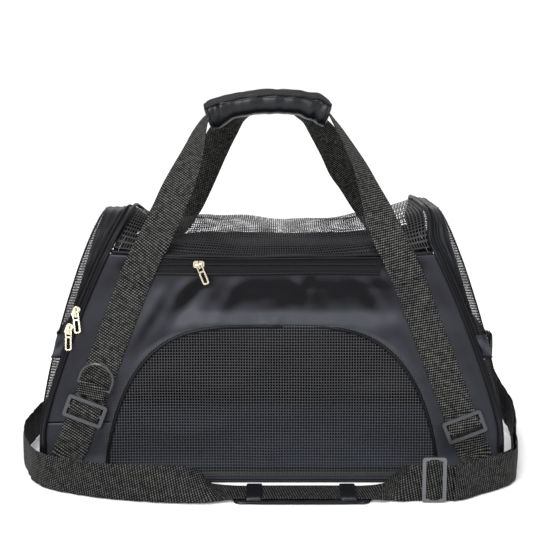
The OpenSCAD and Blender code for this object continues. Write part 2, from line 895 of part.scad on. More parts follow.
front_panel();
front_window_net();
window_piping();
pocket_lining();
pocket_zip();
back_panel();
base_panel();
top_net();
top_seam_piping();
left_gusset();
right_gusset();
left_end_piping();
right_end_piping();
end_hoop_wires();
left_lower_net();
right_lower_net();
left_cross_band();
right_cross_band();
left_flap_zip();
right_flap_zip();
left_flap_rim();
left_flap_net();
right_flap_rim();
right_flap_net();
left_upper_slider();
left_upper_tab();
left_lower_slider();
left_lower_tab();
right_upper_slider();
right_upper_tab();
right_lower_slider();
right_lower_tab();
pocket_slider();
pocket_tab();
front_carry_webbing();
back_carry_webbing();
front_handle_loop();
back_handle_loop();
front_left_glide();
front_right_glide();
back_left_glide();
back_right_glide();
front_ring();
front_ring_tab();
back_ring();
back_ring_tab();
grip_wrap();
grip_flap();
base_board();
floor_mat();
shoulder_strap();
strap_return();
strap_end_loops();
strap_glide();
shoulder_pad();
clip_eyes();
ringed_hook();
ringed_gate();
free_hook();
free_gate();
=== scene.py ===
import math

import bpy
import numpy as np
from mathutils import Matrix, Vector


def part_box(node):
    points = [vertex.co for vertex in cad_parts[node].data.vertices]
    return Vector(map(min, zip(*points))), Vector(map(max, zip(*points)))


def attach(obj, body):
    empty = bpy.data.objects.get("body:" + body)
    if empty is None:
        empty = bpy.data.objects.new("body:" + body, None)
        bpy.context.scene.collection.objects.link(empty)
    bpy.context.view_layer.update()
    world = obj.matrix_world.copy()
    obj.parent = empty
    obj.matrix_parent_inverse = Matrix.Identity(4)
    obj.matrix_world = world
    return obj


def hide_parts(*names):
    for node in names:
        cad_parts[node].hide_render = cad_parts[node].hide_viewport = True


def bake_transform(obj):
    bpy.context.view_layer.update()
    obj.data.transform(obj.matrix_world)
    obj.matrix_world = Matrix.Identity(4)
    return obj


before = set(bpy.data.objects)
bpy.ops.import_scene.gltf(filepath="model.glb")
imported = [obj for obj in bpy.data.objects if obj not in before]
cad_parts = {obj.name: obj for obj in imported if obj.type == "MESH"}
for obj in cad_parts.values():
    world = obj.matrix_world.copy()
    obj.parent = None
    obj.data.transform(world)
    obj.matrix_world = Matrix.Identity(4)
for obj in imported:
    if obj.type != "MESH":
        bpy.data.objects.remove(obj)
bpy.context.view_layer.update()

# ---------------------------------------------------------------- sizes, in millimetres, from the CAD
MM = 1000.0


def box_mm(node):
    lo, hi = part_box(node)
    return np.array(lo) * MM, np.array(hi) * MM


BASE_HI = box_mm("base_panel")[1]
HALF_DEPTH = BASE_HI[1]
FOOT_Z = BASE_HI[2] + 0.2
HALF_LEN = box_mm("front_panel")[1][0] + 0.4
ARCH_H = box_mm("right_flap_net")[1][2]
CROSS_Z0 = box_mm("right_cross_band")[0][2]
CROSS_Z1 = box_mm("right_cross_band")[1][2]
SEAM_Z = 232.0
LEAN_IN = 15.0
LEAN = math.atan(LEAN_IN / SEAM_Z)
SL, CL = math.sin(LEAN), math.cos(LEAN)
TAPER, TAPER_FROM, TAPER_POWER = 66.0, 50.0, 1.3
END_TAPER, END_FROM, END_RISE, END_POWER = 58.0, 40.0, 222.0, 1.5
ARCH_R = 56.0
SHOULDER_Z = ARCH_H - ARCH_R
ARCH_Y = HALF_DEPTH - LEAN_IN * SHOULDER_Z / SEAM_Z - ARCH_R


def above(level, z):
    return np.maximum(0, np.asarray(z, float) - level)


def seam_x(z):
    """Half the length of the bag at its side seams."""
    return HALF_LEN - TAPER * (above(TAPER_FROM, z) / (SEAM_Z - TAPER_FROM)) ** TAPER_POWER


def end_x(z):
    """Half the length of the bag at its end faces."""
    return BASE_HI[0] - END_TAPER * (above(END_FROM, z) / END_RISE) ** END_POWER


def rim_x(z):
    """The outer edge of an end flap's fabric rim."""
    rise = above(CROSS_Z1, z) / (ARCH_H - CROSS_Z1)
    return seam_x(z) + 9.3 + 0.95 * (end_x(z) - seam_x(z) - 10.8) * rise


def side_y(z):
    """Half the depth of the bag."""
    return HALF_DEPTH - LEAN_IN * np.asarray(z, float) / SEAM_Z


def arch_z(ay):
    """The height of an end arch at ay to either side of its middle."""
    drop = ARCH_R**2 - np.maximum(0, ay - ARCH_Y) ** 2
    return np.where(ay < ARCH_Y, ARCH_H, SHOULDER_Z + np.sqrt(np.maximum(0, drop)))


def front(x, s, n):
    """A point x along, s up and n out of the front panel."""
    x, s, n = np.broadcast_arrays(np.asarray(x, float), np.asarray(s, float), np.asarray(n, float))
    return np.stack([x, -HALF_DEPTH + s * SL - n * CL, s * CL + n * SL], -1)


def turned(p):
    """The same place on the back."""
    return np.asarray(p) * np.array([-1, -1, 1])


def mirrored(p):
    """The same place at the other end."""
    return np.asarray(p) * np.array([-1, 1, 1])


def unit(v):
    v = np.asarray(v, float)
    return v / np.maximum(1e-9, np.linalg.norm(v, axis=-1, keepdims=True))


def smooth(a, b, x):
    t = np.clip((np.asarray(x, float) - a) / (b - a), 0, 1)
    return t * t * (3 - 2 * t)


def lattice(nu, nv):
    """Two grids of parameters, each from -1 to 1."""
    return np.meshgrid(np.linspace(-1, 1, nu), np.linspace(-1, 1, nv), indexing="ij")


def ripples(seed, short, long, count=14, angle=None, spread=0.5):
    """A smooth random field over a plane, with wavelengths from short to long, in mm."""
    r = np.random.RandomState(seed)
    lam = short * (long / short) ** r.rand(count)
    ang = r.rand(count) * math.pi if angle is None else angle + (r.rand(count) - 0.5) * 2 * spread
    ph = r.rand(count) * 2 * math.pi
    kx, ky = 2 * math.pi / lam * np.cos(ang), 2 * math.pi / lam * np.sin(ang)
    amp = (lam / long) ** 0.7
    norm = math.sqrt((amp**2).sum() / 2)

    def field(x, y):
        x, y = np.asarray(x, float), np.asarray(y, float)
        total = np.zeros(np.broadcast(x, y).shape)
        for i in range(count):
            total = total + amp[i] * np.cos(kx[i] * x + ky[i] * y + ph[i])
        return total / norm

    return field


def settled(p):
    """How the soft top of the bag has settled: seams sag and the two end arches lean differently."""
    p = np.array(p, float)
    x, y, z = p[:, 0].copy(), p[:, 1].copy(), p[:, 2].copy()
    wx, ex = seam_x(z), end_x(z)
    ax = np.abs(x)
    share = np.where(ax < wx, (ax / wx) ** 3, np.clip((ex - ax) / np.maximum(1, ex - wx), 0, 1))
    right, left = (x > 0) * share, (x < 0) * share
    p[:, 0] += 15 * smooth(238, 271, z) * right
    p[:, 0] += 9 * smooth(225, 268, z) * smooth(-45, 40, y) * left
    p[:, 2] -= 21 * smooth(205, 268, z) * smooth(-50, 45, y) * (x < 0) * smooth(70, 140, ax)
    middle = np.clip(1 - (ax / 160) ** 3, 0, 1)
    p[:, 2] -= 9 * smooth(200, 231, z) * smooth(40, 108, y) * middle
    p[:, 2] -= 4.5 * smooth(221, 230, z) * smooth(-60, -106, y) * middle
    return p


# on while the pieces that settle with the bag are built
SETTLE = {"on": False}


X_AXIS, Y_AXIS = np.array([1.0, 0, 0]), np.array([0, 1.0, 0])


# ---------------------------------------------------------------- meshes
def mesh_object(name, verts, faces, uvs=None, material=None):
    me = bpy.data.meshes.new(name)
    if SETTLE["on"]:
        verts = settled(verts)
    me.from_pydata((np.asarray(verts) / MM).tolist(), [], faces)
    if uvs is not None:
        layer = me.uv_layers.new(name="UVMap")
        idx = np.empty(len(me.loops), np.int32)
        me.loops.foreach_get("vertex_index", idx)
        layer.data.foreach_set("uv", np.asarray(uvs, np.float32)[idx].ravel())
    me.polygons.foreach_set("use_smooth", [True] * len(me.polygons))
    o = bpy.data.objects.new(name, me)
    bpy.context.scene.collection.objects.link(o)
    if material:
        me.materials.append(material)
    return o


def grid_faces(nu, nv, start=0, flip=False, wrap_v=False):
    i, j = np.meshgrid(np.arange(nu - 1), np.arange(nv if wrap_v else nv - 1), indexing="ij")
    j2 = (j + 1) % nv
    q = np.stack([i * nv + j, (i + 1) * nv + j, (i + 1) * nv + j2, i * nv + j2], -1)
    q = q.reshape(-1, 4) + start
    if flip:
        q = q[:, ::-1]
    return q.tolist()


def grid(name, p, uv, material, flip=False):
    faces = grid_faces(*p.shape[:2], 0, flip)
    return mesh_object(name, p.reshape(-1, 3), faces, uv.reshape(-1, 2), material)


def slab(name, p, q, uv=None, material=None, inner=None):
    """A closed sheet between two grids of points."""
    nu, nv = p.shape[:2]
    verts = np.concatenate([p.reshape(-1, 3), q.reshape(-1, 3)])
    faces = grid_faces(nu, nv) + grid_faces(nu, nv, nu * nv, True)
    ring = (
        [(i, 0) for i in range(nu)]
        + [(nu - 1, j) for j in range(1, nv)]
        + [(i, nv - 1) for i in range(nu - 2, -1, -1)]
        + [(0, j) for j in range(nv - 2, 0, -1)]
    )
    ids = [i * nv + j for i, j in ring]
    m = nu * nv
    for a, b in zip(ids, ids[1:] + ids[:1]):
        faces.append([b, a, a + m, b + m])
    if uv is None:
        uv = np.stack([p[..., 0], p[..., 2]], -1)
    uvs = np.concatenate([uv.reshape(-1, 2)] * 2)
    o = mesh_object(name, verts, faces, uvs, material)
    if inner:
        o.data.materials.append(inner)
        near = (nu - 1) * (nv - 1)
        edge = len(faces) - 2 * near
        o.data.polygons.foreach_set("material_index", [0] * near + [1] * near + [0] * edge)
    return o


def net(name, p, keep, strand, material):
    """A net: each cell of the grid of points p gets a hole. strand is the strands' share of a cell."""
    nu, nv = p.shape[:2]
    a, b, c, d = p[:-1, :-1], p[1:, :-1], p[1:, 1:], p[:-1, 1:]
    f = strand / 2

    def inner(s, t):
        return a * (1 - s) * (1 - t) + b * s * (1 - t) + c * s * t + d * (1 - s) * t

    ins = np.stack([inner(f, f), inner(1 - f, f), inner(1 - f, 1 - f), inner(f, 1 - f)], 2)
    mask = np.ones((nu - 1, nv - 1), bool) if keep is None else keep
    i, j = np.nonzero(mask)
    n = len(i)
    outer = np.stack([i * nv + j, (i + 1) * nv + j, (i + 1) * nv + j + 1, i * nv + j + 1], -1)
    start = nu * nv + 4 * np.arange(n)[:, None]
    inr = start + np.arange(4)[None, :]
    quads = []
    for k in range(4):
        m = (k + 1) % 4
        quads.append(np.stack([outer[:, k], outer[:, m], inr[:, m], inr[:, k]], -1))
    verts = np.concatenate([p.reshape(-1, 3), ins[i, j].reshape(-1, 3)])
    faces = np.concatenate(quads)
    used = np.unique(faces)
    remap = np.zeros(len(verts), np.int64)
    remap[used] = np.arange(len(used))
    return mesh_object(name, verts[used], remap[faces].tolist(), None, material)


def spline(points, count):
    """Points along a smooth curve through the given rows, evenly spaced by length."""
    pts = np.asarray(points, float)
    ext = np.vstack([2 * pts[0] - pts[1], pts, 2 * pts[-1] - pts[-2]])
    out = []
    for i in range(1, len(ext) - 2):
        t = np.linspace(0, 1, 24, endpoint=False)[:, None]
        p0, p1, p2, p3 = ext[i - 1], ext[i], ext[i + 1], ext[i + 2]
        square = (2 * p0 - 5 * p1 + 4 * p2 - p3) * t**2
        cube = (3 * p1 - p0 - 3 * p2 + p3) * t**3
        out.append(0.5 * (2 * p1 + (p2 - p0) * t + square + cube))
    dense = np.vstack(out + [pts[-1:]])
    d = np.r_[0, np.cumsum(np.linalg.norm(np.diff(dense[:, :3], axis=0), axis=1))]
    want = np.linspace(0, d[-1], count)
    return np.stack([np.interp(want, d, dense[:, k]) for k in range(dense.shape[1])], -1)


def along(path):
    return unit(np.gradient(path, axis=0))


def lengths(path):
    return np.r_[0, np.cumsum(np.linalg.norm(np.diff(path, axis=0), axis=1))]


def ribbon(
    name, path, sides, width, thick, material, across=11, lift=None, shift=0.0, width_at=1.0, v0=0.0
):
    """A flat band. lift(u, v) moves its faces out: u is from -1 to 1 across, v the length along."""
    path, sides = np.asarray(path, float), unit(sides)
    face = unit(np.cross(along(path), sides))
    v = lengths(path) + v0
    u = np.sin(np.linspace(-math.pi / 2, math.pi / 2, across))
    u = np.sign(u) * np.abs(u) ** 0.8
    edge = np.sqrt(np.maximum(0, 1 - np.abs(u) ** 14))
    half = width / 2 * width_at * np.ones(len(path))
    bump = np.zeros((len(path), across)) if lift is None else lift(u[None, :], v[:, None])
    rows = []
    for sgn in (1, -1):
        out = shift + sgn * thick / 2 * edge[None, :, None] + bump[..., None]
        p = path[:, None, :] + sides[:, None, :] * (u[None, :, None] * half[:, None, None])
        p = p + face[:, None, :] * out
        rows.append(p if sgn == 1 else p[:, ::-1])
    p = np.concatenate(rows, 1)
    uu = np.concatenate([u, u[::-1]])[None, :] * half[:, None]
    uv = np.stack([uu, np.broadcast_to(v[:, None], uu.shape)], -1)
    n, m = p.shape[:2]
    faces = grid_faces(n, m, 0, False, True)
    faces += [list(range(m)), [(n - 1) * m + k for k in range(m - 1, -1, -1)]]
    return mesh_object(name, p.reshape(-1, 3), faces, uv.reshape(-1, 2), material)


def frames(path):
    t = along(path)
    n = np.zeros_like(t)
    ref = np.array([0, 0, 1.0]) if abs(t[0][2]) < 0.8 else np.array([1.0, 0, 0])
    n[0] = unit(np.cross(t[0], ref))
    for i in range(1, len(t)):
        n[i] = unit(n[i - 1] - t[i] * np.dot(n[i - 1], t[i]))
    return n, np.cross(t, n)


def tube(name, path, r, material, sides=10, swell=None):
    path = np.asarray(path, float)
    n, b = frames(path)
    a = np.arange(sides) / sides * 2 * math.pi
    v = lengths(path)
    rr = r * (np.ones(len(path)) if swell is None else swell(v))
    spokes = n[:, None, :] * np.cos(a)[None, :, None] + b[:, None, :] * np.sin(a)[None, :, None]
    p = path[:, None, :] + rr[:, None, None] * spokes
    uv = np.stack(np.broadcast_arrays(a[None, :] * r, v[:, None]), -1)
    m = len(path)
    faces = grid_faces(m, sides, 0, False, True)
    faces += [list(range(sides)), [(m - 1) * sides + k for k in range(sides - 1, -1, -1)]]
    return mesh_object(name, p.reshape(-1, 3), faces, uv.reshape(-1, 2), material)


def ridged(depth, pitch):
    """How a zip's coil swells along its length."""
    return lambda v: 1 + depth * np.sin(v * 2 * math.pi / pitch)


def join(name, objs):
    """One object from several, with each one's material kept."""
    was, SETTLE["on"] = SETTLE["on"], False
    verts, faces, uvs, mats, slots, base = [], [], [], [], [], 0
    for o in objs:
        me = o.data
        co = np.empty(len(me.vertices) * 3)
        me.vertices.foreach_get("co", co)
        uv = np.zeros((len(me.vertices), 2))
        if me.uv_layers:
            flat = np.empty(len(me.loops) * 2, np.float32)
            me.uv_layers[0].data.foreach_get("uv", flat)
            idx = np.empty(len(me.loops), np.int32)
            me.loops.foreach_get("vertex_index", idx)
            uv[idx] = flat.reshape(-1, 2)
        own = list(me.materials) or [None]
        mats += [m for m in own if m not in mats]
        for f in me.polygons:
            faces.append([base + k for k in f.vertices])
            slots.append(mats.index(own[min(f.material_index, len(own) - 1)]))
        verts.append(co.reshape(-1, 3) * MM)
        uvs.append(uv)
        base += len(me.vertices)
        bpy.data.objects.remove(o)
    made = mesh_object(name, np.concatenate(verts), faces, np.concatenate(uvs))
    for m in mats:
        made.data.materials.append(m)
    made.data.polygons.foreach_set("material_index", slots)
    SETTLE["on"] = was
    return made


def place(o, body, node=None):
    """Put a piece on its body, in the place of a CAD node."""
    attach(o, body)
    if node:
        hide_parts(node)
    return o


def stitches(name, path, normals, material, step, length, r, out):
    """A row of thread stitches lying on a surface along path."""
    path = np.asarray(path, float)
    d = lengths(path)
    count = int(d[-1] / step)
    centre = (np.arange(count) + 0.5) * d[-1] / max(1, count)
    verts, faces = [], []
    a = np.arange(4) / 4 * 2 * math.pi + math.pi / 4
    nrm = np.broadcast_to(unit(normals), path.shape)
    for c in centre:
        rows = []
        for k, rr, h in ((-0.5, 0.25, -0.2), (-0.25, 1, 0), (0.25, 1, 0), (0.5, 0.25, -0.2)):
            at = np.clip(c + k * length, 0, d[-1])
            p = np.array([np.interp(at, d, path[:, q]) for q in range(3)])
            w = np.array([np.interp(at, d, nrm[:, q]) for q in range(3)])
            rows.append((p, w, rr, h))
        t = unit(rows[-1][0] - rows[0][0])
        start = len(verts)
        for p, w, rr, h in rows:
            side = unit(np.cross(t, w))
            for q in a:
                verts.append(p + w * (out + h) + r * rr * (side * math.cos(q) + w * math.sin(q)))
        faces += grid_faces(4, 4, start, False, True)
    return mesh_object(name, np.array(verts), faces, None, material)


# ---------------------------------------------------------------- materials
def material(name, color, rough=0.6, metallic=0.0, spec=0.5):
    m = bpy.data.materials.new(name)
    m.use_nodes = True
    b = m.node_tree.nodes["Principled BSDF"]
    b.inputs["Base Color"].default_value = (*color, 1)
    b.inputs["Roughness"].default_value = rough
    b.inputs["Metallic"].default_value = metallic
    b.inputs["Specular IOR Level"].default_value = spec
    return m


class Nodes:
    def __init__(self, m):
        self.t = m.node_tree
        self.bsdf = self.t.nodes["Principled BSDF"]

    def new(self, kind, **inputs):
        n = self.t.nodes.new(kind)
        for k, v in inputs.items():
            n.inputs[k].default_value = v
        return n

    def link(self, a, b):
        self.t.links.new(a, b)

    def math(self, op, a, b=None, c=None):
        n = self.new("ShaderNodeMath")
        n.operation = op
        for i, x in enumerate((a, b, c)):
            if x is None:
                continue
            if isinstance(x, (int, float)):
                n.inputs[i].default_value = x
            else:
                self.link(x, n.inputs[i])
        return n.outputs[0]

    def uv(self):
        n = self.new("ShaderNodeUVMap")
        n.uv_map = "UVMap"
        s = self.new("ShaderNodeSeparateXYZ")
        self.link(n.outputs[0], s.inputs[0])
        return s.outputs[0], s.outputs[1]

    def ramp(self, fac, stops):
        n = self.new("ShaderNodeValToRGB")
        e = n.color_ramp.elements
        while len(e) < len(stops):
            e.new(0.5)
        for k, (pos, col) in enumerate(stops):
            e[k].position = pos
            e[k].color = (*col, 1)
        self.link(fac, n.inputs[0])
        return n.outputs[0]

    def noise(self, scale, detail):
        n = self.new("ShaderNodeTexNoise", Scale=scale, Detail=detail)
        self.link(self.new("ShaderNodeTexCoord").outputs["Object"], n.inputs["Vector"])
        return n.outputs[0]

    def wave(self, length, wavelength):
        return self.math("SINE", self.math("MULTIPLY", length, 2 * math.pi / wavelength))

    def bump(self, height, strength, distance):
        n = self.new("ShaderNodeBump", Strength=strength, Distance=distance)
        self.link(height, n.inputs["Height"])
        self.link(n.outputs[0], self.bsdf.inputs["Normal"])

    def color(self, out):
        self.link(out, self.bsdf.inputs["Base Color"])


def satin(name, dark, light, rough=0.36, spec=0.4, painted_sheen=None):
    """Smooth cloth. Given a third colour, its colour holds painted light: lighter where it faces up, as
    a painted sheen, and darker where it faces down, as painted shade.
    """
    m = material(name, light, rough, spec=spec)
    n = Nodes(m)
    mottle = n.noise(14, 3)
    if painted_sheen:
        facing = n.new("ShaderNodeSeparateXYZ")
        n.link(n.new("ShaderNodeNewGeometry").outputs["Normal"], facing.inputs[0])
        # painted light: the colour follows which way the surface faces, lighter facing up as a painted
        # sheen and darker facing down as painted shade; the noise adds a random tone
        painted_light_and_mottle = n.math("MULTIPLY_ADD", facing.outputs[2], 1.6, 0.3)
        painted_light_and_mottle = n.math("MULTIPLY_ADD", mottle, 0.16, n.math("SUBTRACT", painted_light_and_mottle, 0.08))
        n.color(n.ramp(painted_light_and_mottle, [(0.1, dark), (0.42, light), (0.75, painted_sheen)]))
    else:
        n.color(n.ramp(mottle, [(0.3, dark), (0.7, light)]))
    n.bump(n.noise(1500, 1), 0.12, 0.0004)
    return m


WEAVE_PITCH = 2.5
TAPE_PITCH = 1.4


def webbing(name, dark, light):
    """Fine pebbles in rows across the webbing, from the UV map, which is in mm. Their colour holds
    painted light: painted shade in the gaps between them and a painted highlight on their tops, varied
    by a random noise.
    """
    m = material(name, light, 0.7, spec=0.1)
    n = Nodes(m)
    u, v = n.uv()
    rows = n.wave(n.math("ADD", v, n.math("MULTIPLY", u, 0.18)), WEAVE_PITCH)
    ends = n.wave(n.math("SUBTRACT", u, n.math("MULTIPLY", v, 0.5)), WEAVE_PITCH)
    weave = n.math("ADD", n.math("MULTIPLY", rows, 0.6), n.math("MULTIPLY", ends, 0.4))
    weave = n.math("MULTIPLY_ADD", weave, 0.5, 0.5)
    height = n.math("MULTIPLY", weave, n.math("MULTIPLY_ADD", n.noise(260, 1), 0.9, 0.5))
    mid = tuple(0.25 * x + 0.75 * y for x, y in zip(light, dark))
    # painted light: the weave's low gaps get painted shade and its raised tops a painted highlight
    n.color(n.ramp(height, [(0.36, dark), (0.64, mid), (0.98, light)]))
    n.bump(height, 0.7, 0.0006)
    return m


def taped(name, dark, light):
    """Fine ribs along a zip's tape. Its colour holds painted light: darker in the grooves as painted
    shade and lighter on the ribs as a painted highlight.
    """
    m = material(name, light, 0.6, spec=0.1)
    n = Nodes(m)
    r = n.math("MULTIPLY_ADD", n.wave(n.uv()[1], TAPE_PITCH), 0.5, 0.5)
    # painted light: painted shade in the grooves between the ribs, painted highlight on the ribs
    n.color(n.ramp(r, [(0.2, dark), (0.8, light)]))
    n.bump(r, 0.5, 0.0003)
    return m


# the shell satin's brightest colour is a painted sheen, for cloth that faces up; its darkest is painted
# shade, for cloth that faces down
SHELL_PAINTED_SHEEN = (0.036, 0.0375, 0.047)
SHELL = satin("shell_satin", (0.0016, 0.0016, 0.0026), (0.0205, 0.021, 0.027), 0.42, 0.12, SHELL_PAINTED_SHEEN)
SHELL_DARK = satin("shell_inner", (0.002, 0.0021, 0.003), (0.005, 0.0055, 0.0075), 0.4, 0.13)
PIPING = satin("piping_satin", (0.002, 0.002, 0.003), (0.006, 0.006, 0.008), 0.36, 0.13)
PADDED = satin("pad_satin", (0.002, 0.0023, 0.0034), (0.0045, 0.005, 0.0074), 0.34, 0.25)
NET = material("net_knit", (0.042, 0.0425, 0.046), 0.6, spec=0.12)
NET_DARK = material("net_dark", (0.008, 0.008, 0.009), 0.5, spec=0.25)
# painted shade, for the gaps of the webbing's weave
WEB_PAINTED_SHADE = (0.0006, 0.0006, 0.0006)
WEB = webbing("webbing_carry", WEB_PAINTED_SHADE, (0.125, 0.1235, 0.119))
WEB_STRAP = webbing("webbing_strap", WEB_PAINTED_SHADE, (0.085, 0.0845, 0.082))
TAPE = taped("zip_tape", (0.003, 0.003, 0.0035), (0.014, 0.014, 0.015))
COIL = material("zip_coil", (0.004, 0.004, 0.005), 0.45, spec=0.15)
THREAD = material("thread", (0.006, 0.006, 0.0065), 0.6, spec=0.3)
THREAD_PALE = material("thread_pale", (0.03, 0.03, 0.03), 0.6, spec=0.3)
MAT_TOP = satin("mat_fleece", (0.004, 0.006, 0.012), (0.008, 0.0125, 0.024), 0.8, 0.2)
BASE = satin("base_cloth", (0.006, 0.006, 0.007), (0.012, 0.012, 0.014), 0.6)
GOLD = material("zip_gold", (0.74, 0.66, 0.52), 0.22, 1.0)
BLACK_METAL = material("black_metal", (0.05, 0.051, 0.056), 0.3, 0.5, spec=0.6)
GREY_METAL = material("grey_metal", (0.13, 0.134, 0.14), 0.26, 0.85)
STEEL = material("wire_steel", (0.5, 0.5, 0.5), 0.35, 1.0)
FLAP_CLOTH = material("grip_flap_cloth", (0.0048, 0.0046, 0.0046), 0.6, spec=0.3)
BOARD = material("board", (0.03, 0.03, 0.032), 0.7)

# ---------------------------------------------------------------- front and back panels
broad = ripples(3, 90, 170, 10)
fold = ripples(11, 55, 120, 14, math.radians(58), 0.75)
fine = ripples(5, 14, 30, 18)
WEB_FOOT, WEB_BEND, WEB_TOP = np.array([203, 4.0]), np.array([205, 24.0]), np.array([136, 203.0])
WEB_ANGLE = math.atan2(WEB_BEND[0] - WEB_TOP[0], WEB_TOP[1] - WEB_BEND[1])
WEB_W = 32.0
ZIP_S = 219.5
PANEL_FOOT, PANEL_TOP = 3.0, 229.2
WINDOW_FOOT, WINDOW_TOP, WINDOW_HALF = 5.0, 156.0, 165.0
CLOTH = 1.2
VALLEY_S, VALLEY_DEPTH = 174, 5.2
# creases of the front panel: where, which way, how long, how wide and how deep
FOLDS = [
    (-78, 186, math.radians(52), 34, 8, -3.2), (-95, 190, math.radians(50), 38, 8, 3.0),
    (-108, 176, math.radians(55), 34, 7, -2.6), (-121, 172, math.radians(58), 36, 8, 2.0),
    (-40, 192, math.radians(62), 26, 8, 2.0), (24, 203, math.radians(-72), 16, 6, 1.8),
    (38, 200, math.radians(80), 15, 5, -1.6), (96, 192, math.radians(-60), 24, 8, 2.0),
    (-188, 100, math.radians(70), 44, 12, 2.2), (182, 110, math.radians(-70), 44, 12, 2.4),
    (-160, 150, math.radians(60), 30, 12, 1.8), (140, 168, math.radians(-55), 30, 10, -1.8),
]


def web_x(s):
    return WEB_TOP[0] + (WEB_TOP[1] - np.asarray(s, float)) * math.tan(WEB_ANGLE)


def window_x(s, g=0.0):
    t = np.clip((np.asarray(s, float) - WINDOW_FOOT) / (WINDOW_TOP - WINDOW_FOOT + g), 0, 1)
    return (WINDOW_HALF + g) * np.maximum(0, 1 - t**1.7) ** 0.26


def panel_n(x, s, back=False):
    """How far a panel's cloth stands in or out: soft folds, flat where something is sewn to it."""
    x, s = np.asarray(x, float), np.asarray(s, float)
    k = 400.0 if back else 0.0
    edge = smooth(0, 30, seam_x(s) - np.abs(x)) * smooth(0, 26, s - 3) * smooth(0, 18, 229 - s)
    webs = smooth(12, 34, np.abs(np.abs(x) - web_x(s)))
    away = edge * (0.25 + 0.75 * webs)
    if not back:
        zipped = smooth(8, 26, np.abs(s - ZIP_S))
        piped = smooth(0, 13, np.maximum(np.abs(x) - window_x(s), s - WINDOW_TOP))
        away = away * zipped * (0.15 + 0.85 * piped)
    soft = 1.7 * broad(x + k, s) + 1.3 * fold(x + k, s) + 0.16 * fine(x + k, s)
    if back:
        # only slight, so that the mat can be lifted out past it
        soft = 0.35 * soft
    else:
        wide = np.where(s > VALLEY_S, 24.0, 13.0)
        valley = np.exp(-(((s - VALLEY_S) / wide) ** 2)) * smooth(-125, -50, x)
        soft = 0.55 * soft - VALLEY_DEPTH * valley * (1 - 0.6 * smooth(90, 135, x))
        for x0, s0, turn, long, wide, deep in FOLDS:
            c, d = math.cos(turn), math.sin(turn)
            u, v = (x - x0) * c + (s - s0) * d, -(x - x0) * d + (s - s0) * c
            soft = soft + deep * np.exp(-((u / long) ** 2) - (v / wide) ** 2)
    return -2.2 * edge + away * np.clip(soft - 0.8, -7.5, 2.2)


def closed_rays(outline, cx, cs, ang):
    """How far the outline lies from (cx, cs) in each direction."""
    a = np.arctan2(outline[:, 1] - cs, outline[:, 0] - cx)
    r = np.hypot(outline[:, 0] - cx, outline[:, 1] - cs)
    o = np.argsort(a)
    a, r = a[o], r[o]
    a = np.r_[a - 2 * math.pi, a, a + 2 * math.pi]
    return np.interp(ang, a, np.r_[r, r, r])


def level(x0, x1, s, count):
    """Points along a level line on the panel."""
    return np.stack([np.linspace(x0, x1, count), np.full(count, s)], -1)


def panel_outline():
    """All round the panel, for the rays to end on."""
    s = np.linspace(PANEL_FOOT, PANEL_TOP, 120)
    right = np.stack([seam_x(s) - 0.2, s], -1)
    top = level(right[-1, 0], -right[-1, 0], PANEL_TOP, 160)
    bottom = level(-right[0, 0], right[0, 0], PANEL_FOOT, 220)
    return np.concatenate([right, top, right[::-1] * [-1, 1], bottom])


def window_arch(g=0.0):
    """The right half of the window's edge, from its foot up, g outside it."""
    s = WINDOW_FOOT + (WINDOW_TOP - WINDOW_FOOT + g) * np.sin(np.linspace(0, math.pi / 2, 200))
    return np.stack([window_x(s, g), s], -1)


def build_front_panel():
    """Cloth from the window's edge out to the panel's, along rays from a point inside the window."""
    middle_s = 60
    right = window_arch()
    window = [right, right[::-1] * [-1, 1], level(-right[0, 0], right[0, 0], WINDOW_FOOT, 160)]
    ang = np.linspace(-math.pi, math.pi, 721)
    r0 = closed_rays(np.concatenate(window), 0, middle_s, ang)
    r1 = closed_rays(panel_outline(), 0, middle_s, ang)
    k = np.linspace(0, 1, 44)
    r = r0[:, None] * (1 - k) + r1[:, None] * k
    x, s = r * np.cos(ang)[:, None], middle_s + r * np.sin(ang)[:, None]
    n = panel_n(x, s)
    uv = np.stack([x, s], -1)
    o = slab("front_panel_cloth", front(x, s, n), front(x, s, n - CLOTH), uv, SHELL)
    place(o, "bag", "front_panel")


def build_back_panel():
    rows = np.linspace(PANEL_FOOT, PANEL_TOP, 110)
    u, s = np.meshgrid(np.linspace(-1, 1, 240), rows, indexing="ij")
    x = u * (seam_x(s) - 0.2)
    n = panel_n(x, s, True)
    near, far = turned(front(x, s, n)), turned(front(x, s, n - CLOTH))
    o = slab("back_panel_cloth", near, far, np.stack([x, s], -1), SHELL)
    place(o, "bag", "back_panel")


def build_window():
    x = np.arange(-172, 174, 2.7)
    s = np.arange(3.2, 164, 2.9)
    x, s = np.meshgrid(x, s, indexing="ij")
    sag = -2.6 - 0.9 * np.abs(broad(x, s * 1.4)) + 0.5 * fold(x * 0.8, s)
    edge = smooth(-6, 22, np.minimum(window_x(s) - np.abs(x), WINDOW_TOP - s))
    n = -1.9 + (sag + 1.9) * edge
    cx, cs = (x[:-1, :-1] + x[1:, 1:]) / 2, (s[:-1, :-1] + s[1:, 1:]) / 2
    keep = (np.abs(cx) < window_x(cs, 5)) & (cs < WINDOW_TOP + 4)
    o = net("window_net", front(x, s, n), keep, 0.22, NET)
    place(o, "bag", "front_window_net")
    right = window_arch(1.0)[1:]
    x, s = np.concatenate([right, right[::-1] * [-1, 1]]).T
    path = front(x, s, panel_n(x, s) + 1.25)
    cord = tube("cord", path, 1.75, PIPING)
    place(join("window_piping_cord", [cord]), "bag", "window_piping")


